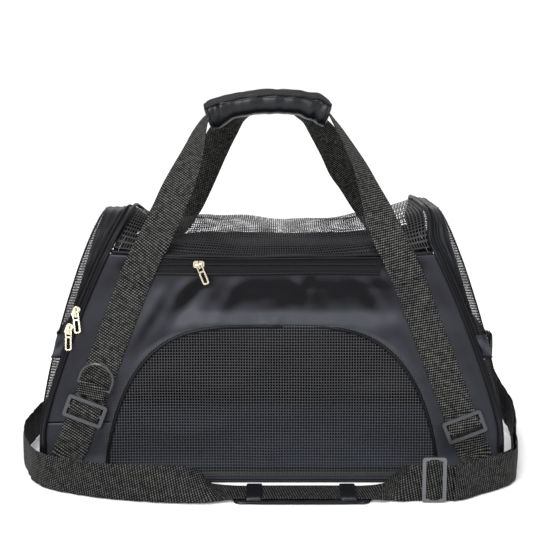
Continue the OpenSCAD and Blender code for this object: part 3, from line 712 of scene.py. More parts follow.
def build_pocket():
    lo, hi = box_mm("pocket_zip")
    x0, x1 = lo[0] - 14, hi[0]
    mid = (lo[2] + hi[2]) / 2 / CL
    xs = np.linspace(x0, x1 + 4, 260)
    parts = []
    x, q = np.meshgrid(xs, np.linspace(-8.5, 8.5, 35), indexing="ij")
    ridge = 0.25 * np.cos(q * 2 * math.pi / 2.8) * (np.abs(q) > 2.2)
    n = 0.45 + ridge * 0.6 + 0.2 * np.sin(x / 17 + q * 0.1)
    parts.append(grid("tape", front(x, mid + q, n), np.stack([x, q * 3], -1), TAPE, True))
    coil_x = np.linspace(x0, x1 + 2, int((x1 - x0 + 2) / 0.4))
    path = front(coil_x, mid, 0.75)
    parts.append(tube("coil", path, 1.35, COIL, 8, ridged(0.16, 1.6)))
    wander = 0.5 * np.sin(xs / 31.0)
    for side, r in ((1, 1.5), (-1, 1.3)):
        welt = front(xs, mid + side * 9.4 + wander, 0.9 + 0.2 * np.sin(xs / 12.0))
        parts.append(tube("welt", welt, r, PIPING, 8))
        row = mid + side * 12.2
        line = front(xs, row + wander, panel_n(xs, row) + 0.25)
        parts.append(stitches("line", line, [0, -1, 0.06], THREAD, 3.2, 2.1, 0.22, 0.1))
    place(join("pocket_zip_tape", parts), "bag", "pocket_zip")
    lo, hi = box_mm("pocket_lining")
    rows = np.linspace(lo[2] / CL, hi[2] / CL, 30)
    x, s = np.meshgrid(np.linspace(lo[0], hi[0], 90), rows, indexing="ij")
    n = panel_n(x, s) - 2.6 - 0.8 * np.sin(x / 9 + s / 14) ** 2
    o = slab("pocket_lining_cloth", front(x, s, n), front(x, s, n - 0.8), None, SHELL_DARK)
    place(o, "bag", "pocket_lining")


def build_top():
    middle_z = 251
    u, v = lattice(124, 58)
    y = v * box_mm("top_net")[1][1]
    arch = arch_z(np.abs(y))
    sag = SEAM_Z + (middle_z - SEAM_Z) * (1 - np.abs(v) ** 2.4)
    z = sag + (arch - sag) * np.abs(u) ** 3 - 0.7
    inside = (1 - np.abs(u) ** 6) * (1 - np.abs(v) ** 6)
    sway = ripples(31, 45, 120, 12)
    z = z + inside * (1.5 * sway(u * 110, y * 1.3) - 1.0) + 4 * inside * (u < 0) * np.abs(u) ** 2
    x = u * (seam_x(arch) - 0.6)
    o = net("top_net_cloth", np.stack([x, y, z], -1), None, 0.34, NET_DARK)
    place(o, "bag", "top_net")
    xs = np.linspace(-seam_x(SEAM_Z) + 2, seam_x(SEAM_Z) - 2, 160)
    parts = []
    s0 = SEAM_Z - 0.6
    for at_back in (False, True):
        wander = 0.5 * np.sin(xs / 37.0) + 0.3 * np.sin(xs / 13.0)
        path = front(xs, s0 + wander, -0.5 + 0.3 * np.sin(xs / 19.0))
        xx, q = np.meshgrid(xs, np.linspace(0, 1, 8), indexing="ij")
        band = front(xx, s0 + 1.2 - q * 5.5, -1.5 - q * 0.8 + 0.2 * np.sin(xx / 8 + q * 3))
        if at_back:
            path, band = turned(path), turned(band)
        parts.append(tube("seam", path, 1.7, PIPING, 10))
        parts.append(grid("hem", band, np.stack([xx, q * 7], -1), SHELL_DARK, True))
    place(join("top_seam_cord", parts), "bag", "top_seam_piping")


# ---------------------------------------------------------------- ends
TO_BACK = np.array([-1, 1, -1, 1])
# how far inside each end arch its wire lies
HOOP_IN = 3.3
# how far out from the side seam each part of an end lies
GUSSET_X = (0.2, 4.8)
HOOP_X = 1.7
ZIP_X = (4.2, 8.4)
COIL_X = 6.3
RIM_X = 8.5
NET_X = 4.6


def arch_leg(s):
    """(y, z, ny, nz) up the straight front leg of an end arch."""
    return np.stack([-side_y(s), s, np.full_like(s, -CL), np.full_like(s, SL)], -1)


def arch_line(z0, inset, count):
    """(y, z, ny, nz) evenly along an end arch, from its foot at z0 in front over to the back."""
    a = np.linspace(math.radians(4), math.pi / 2, 40)
    c, d = np.cos(a), np.sin(a)
    arc = np.stack([-ARCH_Y - ARCH_R * c, SHOULDER_Z + ARCH_R * d, -c, d], -1)
    half = np.concatenate([arch_leg(np.linspace(z0, SHOULDER_Z, 60)), arc])
    y = np.linspace(-ARCH_Y, ARCH_Y, 40)[1:-1]
    top = np.stack([y, np.full(38, ARCH_H), np.zeros(38), np.ones(38)], -1)
    line = np.concatenate([half, top, half[::-1] * TO_BACK])
    d = np.r_[0, np.cumsum(np.hypot(np.diff(line[:, 0]), np.diff(line[:, 1])))]
    want = np.linspace(0, d[-1], count)
    out = np.stack([np.interp(want, d, line[:, k]) for k in range(4)], -1)
    out[:, 2:] = unit(out[:, 2:])
    out[:, :2] -= out[:, 2:] * inset
    return out


def end_strip(line, x_of, w, out):
    """Points across a band beside the right end's seam, at the shares w from its inner edge out."""
    z = line[:, 1]
    lo, hi = x_of(z)
    x = lo[:, None] * (1 - w) + hi[:, None] * w
    y = line[:, 0][:, None] + line[:, 2][:, None] * out
    zz = z[:, None] + line[:, 3][:, None] * out
    return np.stack([x, y, zz], -1)


def arch_path(line, x_of, out=0.0):
    """One row of points along the right end's arch."""
    y, z, ny, nz = line.T
    return np.stack([x_of(z), y + ny * out, z + nz * out], -1)


def beside_seam(*out):
    """The place at each distance out from the side seam, as a function of height."""
    if len(out) == 1:
        return lambda z: seam_x(z) + out[0]
    return lambda z: tuple(seam_x(z) + x for x in out)


def build_end(left):
    """One end of the bag: all that is sewn round its arch, its flap, its lower net and its band."""
    side = "left" if left else "right"
    to = mirrored if left else np.asarray
    # piping and gusset, fixed
    wob = 0.35 * np.sin(np.arange(260) / 9.0)
    path = arch_path(arch_line(FOOT_Z + 2.2, -1.9, 260), beside_seam(wob))
    cord = tube("cord", to(path), 1.9, PIPING)
    place(join(f"{side}_end_cord", [cord]), "bag", f"{side}_end_piping")

    line = arch_line(FOOT_Z, 0, 240)
    w = np.linspace(0, 1, 12)
    out = np.broadcast_to(0.5 * np.sin(w * math.pi) - 0.3, (240, 12))
    edges = beside_seam(*GUSSET_X)
    p, q = end_strip(line, edges, w, out), end_strip(line, edges, w, out - CLOTH)
    uv = np.stack(np.broadcast_arrays(w * 5, np.arange(240)[:, None] * 2.6), -1)
    cloth = slab("gusset", to(p), to(q), uv, SHELL_DARK)
    sleeve = arch_path(arch_line(FOOT_Z + 1, HOOP_IN, 240), beside_seam(HOOP_X))
    sleeve = tube("sleeve", to(sleeve), 2.1, SHELL_DARK, 8)
    place(join(f"{side}_gusset_cloth", [cloth, sleeve]), "bag", f"{side}_gusset")

    # zip: two ridged tapes with a coil between them
    line = arch_line(CROSS_Z1 + 1, 0, 200)
    w = np.linspace(0, 1, 15)
    out = np.broadcast_to(0.25 + 0.45 * np.abs(np.sin(w * math.pi * 2)), (200, 15))
    p = end_strip(line, beside_seam(*ZIP_X), w, out)
    uv = np.stack(np.broadcast_arrays(np.arange(200)[:, None] * 2.4, w * 8), -1)
    tape = grid("tape", to(p), uv, TAPE)
    coil = arch_path(arch_line(CROSS_Z1 + 1, -0.9, 900), beside_seam(COIL_X))
    coil = tube("coil", to(coil), 1.15, COIL, 6, ridged(0.2, 1.7))
    place(join(f"{side}_flap_zip_tape", [tape, coil]), "bag", f"{side}_flap_zip")

    # upper flap: fabric rim with welts, then net round the corner, then the net end
    body = f"{side}_flap"
    line = arch_line(CROSS_Z1 + 1.2, 0, 220)
    w = np.linspace(0, 1, 22)
    puff = ripples(40 if left else 60, 22, 60, 10)
    t = np.arange(220)[:, None] * 2.0
    out = 0.35 * puff(t, w * 14) - 0.5
    for tall, at, wide in ((0.9, 0.12, 0.09), (0.6, 0.55, 0.12)):
        out = out + tall * np.exp(-(((w - at) / wide) ** 2))

    def rim_edges(z):
        return seam_x(z) + RIM_X, rim_x(z)

    p, q = end_strip(line, rim_edges, w, out), end_strip(line, rim_edges, w, out - CLOTH)
    uv = np.stack(np.broadcast_arrays(w * 12, t), -1)
    rim = slab("rim", to(p), to(q), uv, SHELL_DARK)
    row = arch_path(line, lambda z: rim_x(z) - 1.2)
    nrm = np.stack([0 * line[:, 2], line[:, 2], line[:, 3]], -1)
    thread = stitches("thread", to(row), nrm, THREAD, 3.2, 2.1, 0.24, 0.2)
    place(join(f"{side}_flap_rim_cloth", [rim, thread]), body, f"{side}_flap_rim")
    build_end_net(left, CROSS_Z1 + 1.2, ARCH_H, body, f"{side}_flap_net", rim_x)
    low_top = CROSS_Z0 - 0.3
    build_end_net(left, FOOT_Z, low_top, "bag", f"{side}_lower_net", beside_seam(NET_X))
    build_cross_band(side, left)


def bulge(y, z):
    """How far an end face's cloth stands out between its edges."""
    return 3.2 * (1 - (np.asarray(y) / side_y(z)) ** 2) * smooth(0, 60, z) - 0.4


def build_end_net(left, z0, z1, body, node, inner):
    """The net from z0 to z1: strips round the corners from the inner edge, and the end face."""
    to = mirrored if left else np.asarray
    parts = []
    whole = z1 > SHOULDER_Z
    pitch = 2.6
    if whole:
        total = arch_line(z0, 0, 400)
        d = np.hypot(np.diff(total[:, 0]), np.diff(total[:, 1])).sum()
        lines = [arch_line(z0, 0, int(d / pitch))]
    else:
        leg = arch_leg(np.linspace(z0, z1, int((z1 - z0) / pitch)))
        lines = [leg, leg * TO_BACK]
    for line in lines:
        w = np.linspace(0, 1, 6)
        wob = 0.5 * np.sin(np.arange(len(line))[:, None] / 3.0 + w * 4)
        out = -0.5 - 1.6 * w**3 + wob * np.sin(w * math.pi)
        p = end_strip(line, lambda z: (inner(z), end_x(z) - 1.6), w, out)
        parts.append(net("strip", to(p), None, 0.42, NET_DARK))
        corner = arch_path(line, lambda z: end_x(z) - 1.4, -1.9)
        parts.append(tube("corner", to(corner), 0.9, PIPING, 6))
    half = side_y(z0)
    y = np.arange(-half, half + pitch, pitch)
    z = np.arange(z0, z1 + pitch, pitch)
    y, z = np.meshgrid(y, np.minimum(z, z1), indexing="ij")
    x = end_x(z) - 0.6 + bulge(y, z) * (1.0 if not whole else smooth(z1, z1 - 30, z))
    p = np.stack([x, y, z], -1)
    cy, cz = (y[:-1, :-1] + y[1:, 1:]) / 2, (z[:-1, :-1] + z[1:, 1:]) / 2
    keep = (np.abs(cy) < side_y(cz) - 1.5) & (cz < arch_z(np.abs(cy)) - 1.5)
    keep &= z[1:, 1:] - z[:-1, :-1] > 0.5
    parts.append(net("face", to(p), keep, 0.36, NET_DARK))
    if whole:
        yy = np.linspace(-side_y(z0) + 1, side_y(z0) - 1, 90)
        hem = np.stack([end_x(z0) - 0.2 + bulge(yy, z0) * 0.5, yy, np.full(90, z0 + 0.6)], -1)
        parts.append(tube("hem", to(hem), 1.3, PIPING, 8))
    place(join(f"{node}_cloth", parts), body, node)


def build_cross_band(side, left):
    """The cloth band across an end, under its flap."""
    to = mirrored if left else np.asarray
    nz = 14
    rows = []
    for zz in np.linspace(CROSS_Z0, CROSS_Z1, nz):
        lo, hi = float(seam_x(zz)) + NET_X, float(end_x(zz))
        sy = float(side_y(zz)) - 0.3
        pts = [(lo + (hi - 2.5 - lo) * k, -sy) for k in np.linspace(0, 1, 8)]
        turn = np.linspace(0.2, math.pi / 2, 5)
        pts += [(hi - 2.5 + 2.5 * math.sin(a), -sy + 2.5 * (1 - math.cos(a))) for a in turn]
        face = [(hi + float(bulge(q, zz)) * 0.9 + 0.3, q) for q in np.linspace(-sy + 4, sy - 4, 60)]
        pts = pts + face + [(a, -b) for a, b in reversed(pts)]
        rows.append([(a, b, zz) for a, b in pts])
    p = np.array(rows)
    wr = ripples(77 if left else 78, 12, 40, 12)
    dirs = unit((p - np.array([150.0, 0, 0])) * np.array([1, 1, 0]))
    d = np.arange(p.shape[1])[None, :] * 3.0
    amp = 0.5 * np.sin(np.linspace(0, math.pi, nz))[:, None]
    p = p + dirs * (amp * wr(d + 0 * p[..., 2], p[..., 2]))[..., None]
    q = p - dirs * CLOTH
    uv = np.stack([np.broadcast_to(d, p.shape[:2]), p[..., 2]], -1)
    parts = [slab("band", to(p), to(q), uv, SHELL)]
    for k in (0, nz - 1):
        parts.append(tube("edge", to(p[k] + dirs[k] * 0.1), 0.9, PIPING, 6))
    place(join(f"{side}_cross_band_cloth", parts), "bag", f"{side}_cross_band")


def build_hoops():
    """The spring wire in each end arch's sleeve."""
    parts = []
    path = arch_path(arch_line(FOOT_Z + 2, HOOP_IN, 200), beside_seam(HOOP_X))
    for to in (mirrored, np.asarray):
        parts.append(tube("wire", to(path), 1.25, STEEL, 8))
    place(join("end_hoop_spring_wires", parts), "bag", "end_hoop_wires")


def build_base():
    hx, hy, hz = BASE_HI
    u, v = lattice(80, 50)
    x, y = u * (hx - 0.6), v * (hy - 0.6)
    quilt = 0.25 * np.sin(x / 9) * np.sin(y / 9)
    top = np.stack([x, y, np.full_like(x, hz - 0.1)], -1)
    low = np.stack([x, y, 0.35 + 0.2 * quilt], -1)
    cloth = slab("base", top, low, np.stack([x, y], -1), BASE)
    r = 3.0
    loop = []
    for sx, sy, a0 in ((1, 1, 0), (-1, 1, 90), (-1, -1, 180), (1, -1, 270)):
        for a in np.radians(a0 + np.linspace(0, 90, 8)):
            x, y = sx * (hx - r) + r * math.cos(a), sy * (hy - r) + r * math.sin(a)
            loop.append(np.array([x, y, 1.35]))
    loop.append(loop[0])
    dense = []
    for a, b in zip(loop, loop[1:]):
        count = max(2, int(np.linalg.norm(b - a) / 6))
        dense += [a + (b - a) * k for k in np.linspace(0, 1, count, endpoint=False)]
    edge = tube("edge", np.array(dense + [loop[0]]), 1.3, PIPING, 8)
    place(join("base_cloth_panel", [cloth, edge]), "bag", "base_panel")


# ---------------------------------------------------------------- webbing and grip
def sewn_path(count=160):
    """The middle of a sewn run, as x and s on the panel, from its foot up."""
    upper = [WEB_BEND + (WEB_TOP - WEB_BEND) * k for k in (0.08, 0.2, 0.4, 0.6, 0.8, 1.0)]
    return spline([WEB_FOOT, WEB_BEND] + upper, count)


def build_carry(back):
    """The sewn runs of one side's webbing, with their stitching."""
    name = "back" if back else "front"
    to = turned if back else np.asarray
    parts = []
    for mir in (1, -1):
        p2 = sewn_path()
        x, s = p2[:, 0] * mir, p2[:, 1]
        path = to(front(x, s, np.maximum(panel_n(x, s, back), -2.4) + 1.3))
        d = np.gradient(p2, axis=0)
        d = d / np.linalg.norm(d, axis=1, keepdims=True)
        sides = to(np.stack([d[:, 1], -d[:, 0] * mir * SL, -d[:, 0] * mir * CL], -1))
        warp = ripples(90 + mir + (5 if back else 0), 25, 70, 10)

        def lift(u, v):
            return 0.25 * warp(u * 16, v) * (1 - u**2)

        parts.append(ribbon("sewn", path, sides, WEB_W, 1.7, WEB, 13, lift))
        nrm = unit(np.cross(along(path), unit(sides)))
        if nrm[0][1] * (1 if back else -1) < 0:
            nrm = -nrm
        for k in (-1, 1):
            row = path + unit(sides) * (k * (WEB_W / 2 - 2.2))
            parts.append(stitches("row", row, nrm, THREAD_PALE, 3.4, 2.2, 0.25, 0.95))
    place(join(f"{name}_sewn_webbing", parts), "bag", f"{name}_carry_webbing")


# each free side of the two loops, from the panel up to the grip: x (the left sides' is
# mirrored), y, z and how far the band has turned from upright to flat, in degrees
FRONT_RIGHT = [
    [136.2, -113.6, 202.6, 0], [129, -113.6, 218, 0], [122, -113.4, 232, 0], [117.5, -112.6, 241, 3],
    [111, -105, 256, 12], [105, -95, 271, 26], [98.5, -84, 288, 45], [90, -66, 310, 61],
    [82.5, -51, 325, 69], [75.5, -37, 338, 75], [69, -24, 349, 79], [63.5, -12, 357.5, 84],
    [59, -4, 364, 88],
]
FRONT_LEFT = [
    [136.2, -113.6, 202.6, 0], [129, -113.6, 218, 0], [122, -113.4, 232, 0], [117, -112.6, 241, 0],
    [110.5, -105, 256, 2], [103.5, -95, 271, 5], [96.5, -84, 288, 11], [87, -66, 310, 30],
    [80.5, -51, 327, 46], [75.8, -36, 342, 59], [71.5, -20, 353.5, 71], [67.5, -9, 361, 80],
    [63, -2, 366.5, 88],
]
BACK_LEFT = [
    [136.2, -113.6, 202.6, 0], [126.5, -113.6, 218, 0], [116, -113.4, 232, 0], [107.5, -112, 243, 0],
    [97, -103, 259, 0], [84.5, -86, 284, 3], [76.5, -72, 301, 6], [68, -56, 319, 10],
    [57.5, -36, 339, 19], [48, -20, 352, 34], [38, -9, 360.5, 58], [28, -3, 365, 80],
]
BACK_RIGHT = [
    [136.2, -113.6, 202.6, 0], [130, -113.6, 218, 0], [124.5, -113.4, 232, 0], [119, -112, 243, 0],
    [108, -103, 259, 2], [92, -86, 284, 7], [79, -72, 302, 12], [69, -54, 322, 19],
    [59, -36, 339, 27], [49, -20, 352, 42], [39, -9, 360.5, 62], [28, -3, 365, 80],
]
GRIP_R = 210.0
GRIP_HALF = 66.0
GRIP_W = box_mm("grip_wrap")[1][1] - box_mm("grip_wrap")[0][1]
BOW_Z = 379.0 - GRIP_R


def build_loop(back):
    """One side's free loop, from the panel through the grip and back to the panel."""
    name = "back" if back else "front"
    in_grip = -1.4 if back else 1.4
    first, last = (BACK_LEFT, BACK_RIGHT) if back else (FRONT_RIGHT, FRONT_LEFT)
    middle = []
    for x in (18, 9, 0, -9, -18) if back else (52, 39, 26, 13, 0, -13, -26, -39, -52):
        middle.append([x, 0, BOW_Z + math.sqrt(GRIP_R**2 - x * x) - (8 if back else 0), 90])
    rows = np.array(first + middle + [[-x, y, z, turn] for x, y, z, turn in reversed(last)])
    line = spline(rows, 520)
    path, turn = line[:, :3].copy(), np.radians(line[:, 3])
    d = along(path)
    upright = unit(np.stack([d[:, 2], 0 * d[:, 0], -d[:, 0]], -1))
    sides = np.cos(turn)[:, None] * upright + np.sin(turn)[:, None] * np.array([0, 1.0, 0])
    face = unit(np.cross(d, unit(sides)))
    path -= face * (in_grip * np.sin(turn))[:, None]
    if back:
        path, sides = turned(path), turned(sides)
    crease = ripples(33 + back, 30, 80, 12)
    total = lengths(path)[-1]

    def near(v, at, width):
        """How close v is to a place at a distance from either end."""
        return np.exp(-(((np.minimum(v, total - v) - at) / width) ** 2))

    def lift(u, v):
        pinch = near(v, 34, 5) + 0.8 * near(v, 62, 6)
        return 0.5 * crease(u * 16, v) * (1 - u**2) - 0.9 * pinch * (1 - 0.5 * u**2)

    v = lengths(path)
    wide = 1 - 0.05 * near(v, 34, 6) - 0.03 * near(v, 62, 6)
    o = ribbon(f"{name}_loop_webbing", path, sides, WEB_W, 1.7, WEB, 13, lift, width_at=wide, v0=215)
    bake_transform(o)
    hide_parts(f"{name}_handle_loop")


def bowed(a, y, h):
    """A point at angle a along the grip's bow, y across, and h above the bow's line."""
    a, y, h = np.broadcast_arrays(a, y, h)
    r = GRIP_R + h
    return np.stack([r * np.sin(a) - 4.0, y, BOW_Z + r * np.cos(a) + 0.035 * r * np.sin(a)], -1)


def rounded_end(t):
    """How much of its height the grip's top keeps at t, from -1 at the left end to 1 at the right."""
    left = np.sqrt(1 - 0.45 * np.clip((-t - 0.9) / 0.1, 0, 1) ** 2)
    right = np.sqrt(1 - 0.97 * np.clip((t - 0.74) / 0.26, 0, 1) ** 2)
    return left * right


GRIP_ANGLE = math.asin(GRIP_HALF / GRIP_R)
GRIP_UP, GRIP_LOW, GRIP_DROOP = 9.6, 14.6, 6.5


def build_sleeve():
    """The padded wrap: a flattened tube along the bow, drooping and wrinkled at its open ends."""
    half = GRIP_ANGLE
    na, nf = 150, 72
    a = np.linspace(-half, half, na)
    f = np.linspace(0, 2 * math.pi, nf, endpoint=False)
    cs, sn = np.cos(f), np.sin(f)
    yy = GRIP_W / 2 * np.sign(cs) * np.abs(cs) ** 0.72
    hh = np.where(sn > 0, GRIP_UP, GRIP_LOW) * np.sign(sn) * np.abs(sn) ** 0.72
    end = np.clip((half - np.abs(a)) / math.radians(2.6), 0, 1)
    puffed = 0.86 + 0.14 * np.sqrt(1 - (1 - end) ** 2)
    wr = ripples(101, 9, 34, 22, 0.1, 0.35)
    amp = 0.9 * np.exp(-((half - np.abs(a)) / math.radians(5)) ** 2) + 0.22
    wrinkle = amp[:, None] * wr(a[:, None] * GRIP_R, f[None, :] * 14)
    rr = puffed[:, None] + wrinkle / 20
    droop = GRIP_DROOP * smooth(0.45, 1.0, np.abs(a) / half)
    crown = rounded_end(a / half)
    lower = np.where(sn < 0, -sn, 0) ** 0.8
    tall = hh[None, :] * np.where(sn[None, :] > 0, crown[:, None], 1)
    p = bowed(a[:, None], yy[None, :] * rr, tall * rr - droop[:, None] * lower[None, :])
    verts = p.reshape(-1, 3).tolist()
    faces = grid_faces(na, nf, 0, True, True)
    for k, flip in ((0, False), (na - 1, True)):
        # the open ends: a rolled edge, then the mouth where the webbing goes in
        ring = [k * nf + j for j in range(nf)]
        for sc, dip in ((0.82, 0.6), (0.66, -2.5), (0.5, -8)):
            aa = a[k] + (1 if flip else -1) * dip / GRIP_R
            new = bowed(aa, yy * sc, (tall[k] - GRIP_DROOP * lower) * sc)
            base = len(verts)
            verts += new.tolist()
            for j in range(nf):
                q = [ring[j], ring[(j + 1) % nf], base + (j + 1) % nf, base + j]
                faces.append(q if not flip else q[::-1])
            ring = [base + j for j in range(nf)]
    uv = np.array([[v[0], v[1] * 2 + v[2]] for v in verts])
    parts = [mesh_object("sleeve", np.array(verts), faces, uv, PADDED)]
    around = np.r_[yy, yy[:1]]
    for k in (-1, 1):
        h = tall[0 if k < 0 else -1] - GRIP_DROOP * lower
        h = np.r_[h, h[:1]]
        ring = bowed(k * (half - math.radians(0.5)), around * 0.93, h * 0.93)
        parts.append(tube("bind", ring, 1.5, PADDED, 8))
        at = k * (half - math.radians(2.1))
        line = bowed(at, around, h)
        nrm = unit(line - bowed(at, 0.0, 0.0))
        parts.append(stitches("line", line, nrm, THREAD, 3.0, 2.0, 0.24, 0.1))
    o = place(join("grip_sleeve", parts), "handle", "grip_wrap")


def build_grip_flap():
    """The flap that closes the wrap: sewn on behind, over the top and a little down the front."""
    g = np.linspace(0, 1, 30)
    y = GRIP_W / 2 * (0.98 - 1.9 * g)[None, :]
    h = GRIP_UP + 1.4 - 7.4 * smooth(0.72, 1.12, g) - 8.0 * (1 - smooth(0, 0.16, g))
    a = np.linspace(-GRIP_ANGLE * 0.985, GRIP_ANGLE * 0.985, 130)[:, None]
    puff = ripples(104, 14, 40, 12, 0.2, 0.5)
    mid = h[None, :] * rounded_end(a / GRIP_ANGLE) + 0.35 * puff(a * GRIP_R, y)
    top = bowed(a, y, mid + 0.9)
    uv = np.stack(np.broadcast_arrays(a * GRIP_R, y), -1)
    parts = [slab("flap", top, bowed(a, y, mid - 0.5), uv, FLAP_CLOTH)]
    parts.append(tube("lip", top[:, -1] - np.array([0, 0, 0.5]), 1.3, PIPING, 8))
    for j in (24, 27):
        parts.append(stitches("row", top[:, j], [0, -0.5, 0.85], THREAD_PALE, 3.0, 2.0, 0.22, 0.15))
    for i in (0, -1):
        parts.append(tube("end", top[i] - np.array([0, 0, 0.5]), 1.1, PIPING, 8))
    o = join("grip_flap_cloth", parts)
    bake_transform(o)
    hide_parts("grip_flap")


# ---------------------------------------------------------------- webbing at the hardware
# how far up the panel each piece of hardware is sewn or threaded
HIGH_GLIDE_S, LOW_GLIDE_S, RING_S = 73, 57, 98.0
RING_OUT = 4.7


def on_web(x_sign, s, n, back):
    """Origin and axes (across, up, out) of a place on the carry webbing."""
    at = front(float(web_x(s)) * x_sign, s, n)
    c = math.cos(WEB_ANGLE)
    up, out = np.array([-math.sin(WEB_ANGLE) * x_sign, c * SL, c * CL]), np.array([0, -CL, SL])
    if back:
        at, up, out = turned(at), turned(up), turned(out)
    up, out = unit(up), unit(out)
    return at, np.cross(up, out), up, out


def bent(rows, count, at, along_axis, up_axis):
    """A smooth path from rows of a distance along and a height, set at a place and its two axes."""
    line = spline([(a, h, 0) for a, h in rows], count)
    return at + along_axis * line[:, :1] + up_axis * line[:, 1:2]


def build_glide_hump(name, body, x_sign, s, back):
    """Webbing that comes up through the tri-glide, over its middle bar and down again."""
    at, across, up, out = on_web(x_sign, s, 0, back)
    half = [(12.5, 0.9), (9.2, 1.4), (6.0, 3.2), (3.2, 5.9)]
    path = bent([(-a, h) for a, h in half] + [(0, 6.7)] + half[::-1], 46, at, up, out)
    wob = ripples(120 + int(s), 12, 30, 8)
    sides = np.broadcast_to(across, path.shape)
    o = ribbon(name, path, sides, WEB_W - 1, 1.5, WEB, 11, lambda u, v: 0.15 * wob(u * 15, v))
    place(o, body)


def build_ring_tab(name, back):
    """The short webbing that holds a D-ring, folded round the ring's straight bar."""
    at, across, up, out = on_web(-1, RING_S, RING_OUT, back)
    r = 2.55
    rows = [(-13, -2.9), (-9, -2.7), (-5, -2.55)]
    rows += [(r * math.sin(t), -r * math.cos(t)) for t in np.radians(np.linspace(0, 200, 16))]
    rows += [(-4.5, 1.1), (-8, -0.2), (-12, -0.9)]
    path = bent(rows, 60, at, up, out)
    o = ribbon(name, path, np.broadcast_to(across, path.shape), 27, 1.1, WEB, 11)
    place(o, "bag", "back_ring_tab" if back else "front_ring_tab")


# ---------------------------------------------------------------- shoulder strap
STRAP_W = 35.0
DOUBLED_FROM = 32
# the strap as it lies, from the free clip to the one on the back ring: x, y, the height of its
# lower edge, and its tilt from standing on edge to lying flat, in degrees
STRAP = np.array(
    [
        [-96, 172, 3.0, 90], [-120, 173, 1.4, 90], [-145, 173, 1.0, 88], [-172, 170, 0.4, 62],
        [-200, 161, 0.3, 26], [-226, 146, 0.3, 4], [-246, 122, 0.3, 0], [-258, 88, 0.3, 0],
        [-265, 46, 0.3, 0], [-267, 4, 0.3, 0], [-266, -36, 0.3, 0], [-259, -72, 0.3, 0],
        [-249, -101, 0.3, 0], [-239, -124, 0.3, 0], [-224, -142, 0.3, 0], [-203, -155, 0.3, 0],
        [-174, -168, 0.3, 0], [-140, -176, 0.3, 4], [-108, -179, 0.3, 12], [-82, -177, 0.3, 30],
        [-64, -173, 1, 54], [-54, -168, 2, 76], [-44, -164.5, 2.7, 88], [-10, -164, 2.8, 90],
        [28, -164, 2.8, 90], [62, -164, 2.8, 90], [100, -164.5, 2.7, 88], [110, -166, 2, 76],
        [118, -169, 1, 50], [127, -175, 0.3, 20], [138, -178, 0.3, 0], [155, -178, 0.3, 0],
        [173, -178, 0.3, 0], [191, -167, 0.3, 0], [208, -154, 0.3, 0], [222, -143, 0.3, 0],
        [233, -134, 0.3, 0], [241, -122, 0.3, 0], [245, -104, 0.3, 0], [251, -76, 0.3, 0],
        [258, -42, 0.3, 0], [265, -8, 1.5, 0], [269, 28, 6, 0], [264, 62, 18, 0],
        [257, 86, 33, 0], [256, 104, 46, 0], [260, 118, 56, 0], [263, 127, 62, 0],
        [261.0, 131, 66, 0],
    ]
)


def strap_line(first, last, count):
    line = spline(STRAP[first : last + 1], count)
    tilt = np.radians(line[:, 3])
    c, s = np.cos(tilt), np.sin(tilt)
    d = along(line[:, :3] * np.array([1, 1, 0]))
    path = np.stack([line[:, 0], line[:, 1], line[:, 2] + STRAP_W / 2 * c + 0.9 * s], -1)
    return path, np.stack([-d[:, 1] * s, d[:, 0] * s, c], -1)


def build_strap():
    path, sides = strap_line(0, len(STRAP) - 1, 900)
    wave = ripples(140, 40, 130, 12)
    rip = ripples(141, 12, 26, 14, math.pi / 2, 0.4)

    x, y = path[:, 0], path[:, 1]
    on_pad = (smooth(-64, -44, x) * (1 - smooth(100, 122, x)) * (y < -150))[:, None]

    def lift(u, v):
        return (0.9 * wave(u * 9, v) * (1 - 0.6 * u**2) + 0.22 * rip(u * 16, v)) * (1 - 0.85 * on_pad)

    o = ribbon("shoulder_strap_webbing", path, sides, STRAP_W, 1.6, WEB_STRAP, 13, lift)
    place(o, "bag", "shoulder_strap")

    path, sides = strap_line(DOUBLED_FROM, len(STRAP) - 1, 420)
    wave2 = ripples(150, 30, 90, 12)

    def lift2(u, v):
        lower = 0.9 * wave(u * 9, v + 700) * (1 - 0.6 * u**2)
        return (lower + 0.7 * np.abs(wave2(u * 9, v))) * smooth(0, 14, v)

    o = ribbon("strap_return_webbing", path, sides, STRAP_W - 0.6, 1.5, WEB_STRAP, 13, lift2, shift=2.3)
    place(o, "bag", "strap_return")

    # the webbing that comes through the adjuster and over its middle bar
    lo, hi = box_mm("strap_glide")
    mid = np.array([(lo[0] + hi[0]) / 2, hi[1] + 1.2, (lo[2] + hi[2]) / 2])
    rows = [(-12, 1.6), (-9.5, 2.0), (-6.2, 3.0), (-3.2, 4.6), (0, 5.2)]
    rows += [(3.2, 4.6), (6.2, 3.4), (9.5, 2.9), (12, 2.7)]
    hump = bent(rows, 46, mid, X_AXIS, -Y_AXIS)
    sides = np.broadcast_to([0, 0, 1.0], hump.shape)
    o = ribbon("adjuster_webbing", hump, sides, hi[2] - lo[2] - 4.5, 1.5, WEB_STRAP, 11)
    place(o, "strap_glide")


def rounded_pad(nu, nv, hx, hy, r, rise):
    """A grid over a rectangle with round corners, and each point's share of the rise at its edge."""
    u, v = lattice(nu, nv)
    x, y = u * hx, v * hy
    over = np.maximum(np.abs(x) - (hx - r), 0)
    y = np.where(over > 0, y * (hy - r + np.sqrt(np.maximum(0, r * r - over**2))) / hy, y)
    edge = np.minimum(1, np.minimum((1 - np.abs(u)) * hx, (1 - np.abs(v)) * hy) / rise)
    return x, y, edge


def superellipse(t, half):
    """One coordinate of a rounded outline, from the sine or cosine of the angle round it."""
    return np.clip(np.sign(t) * np.abs(t) ** 0.35, -1, 1) * half


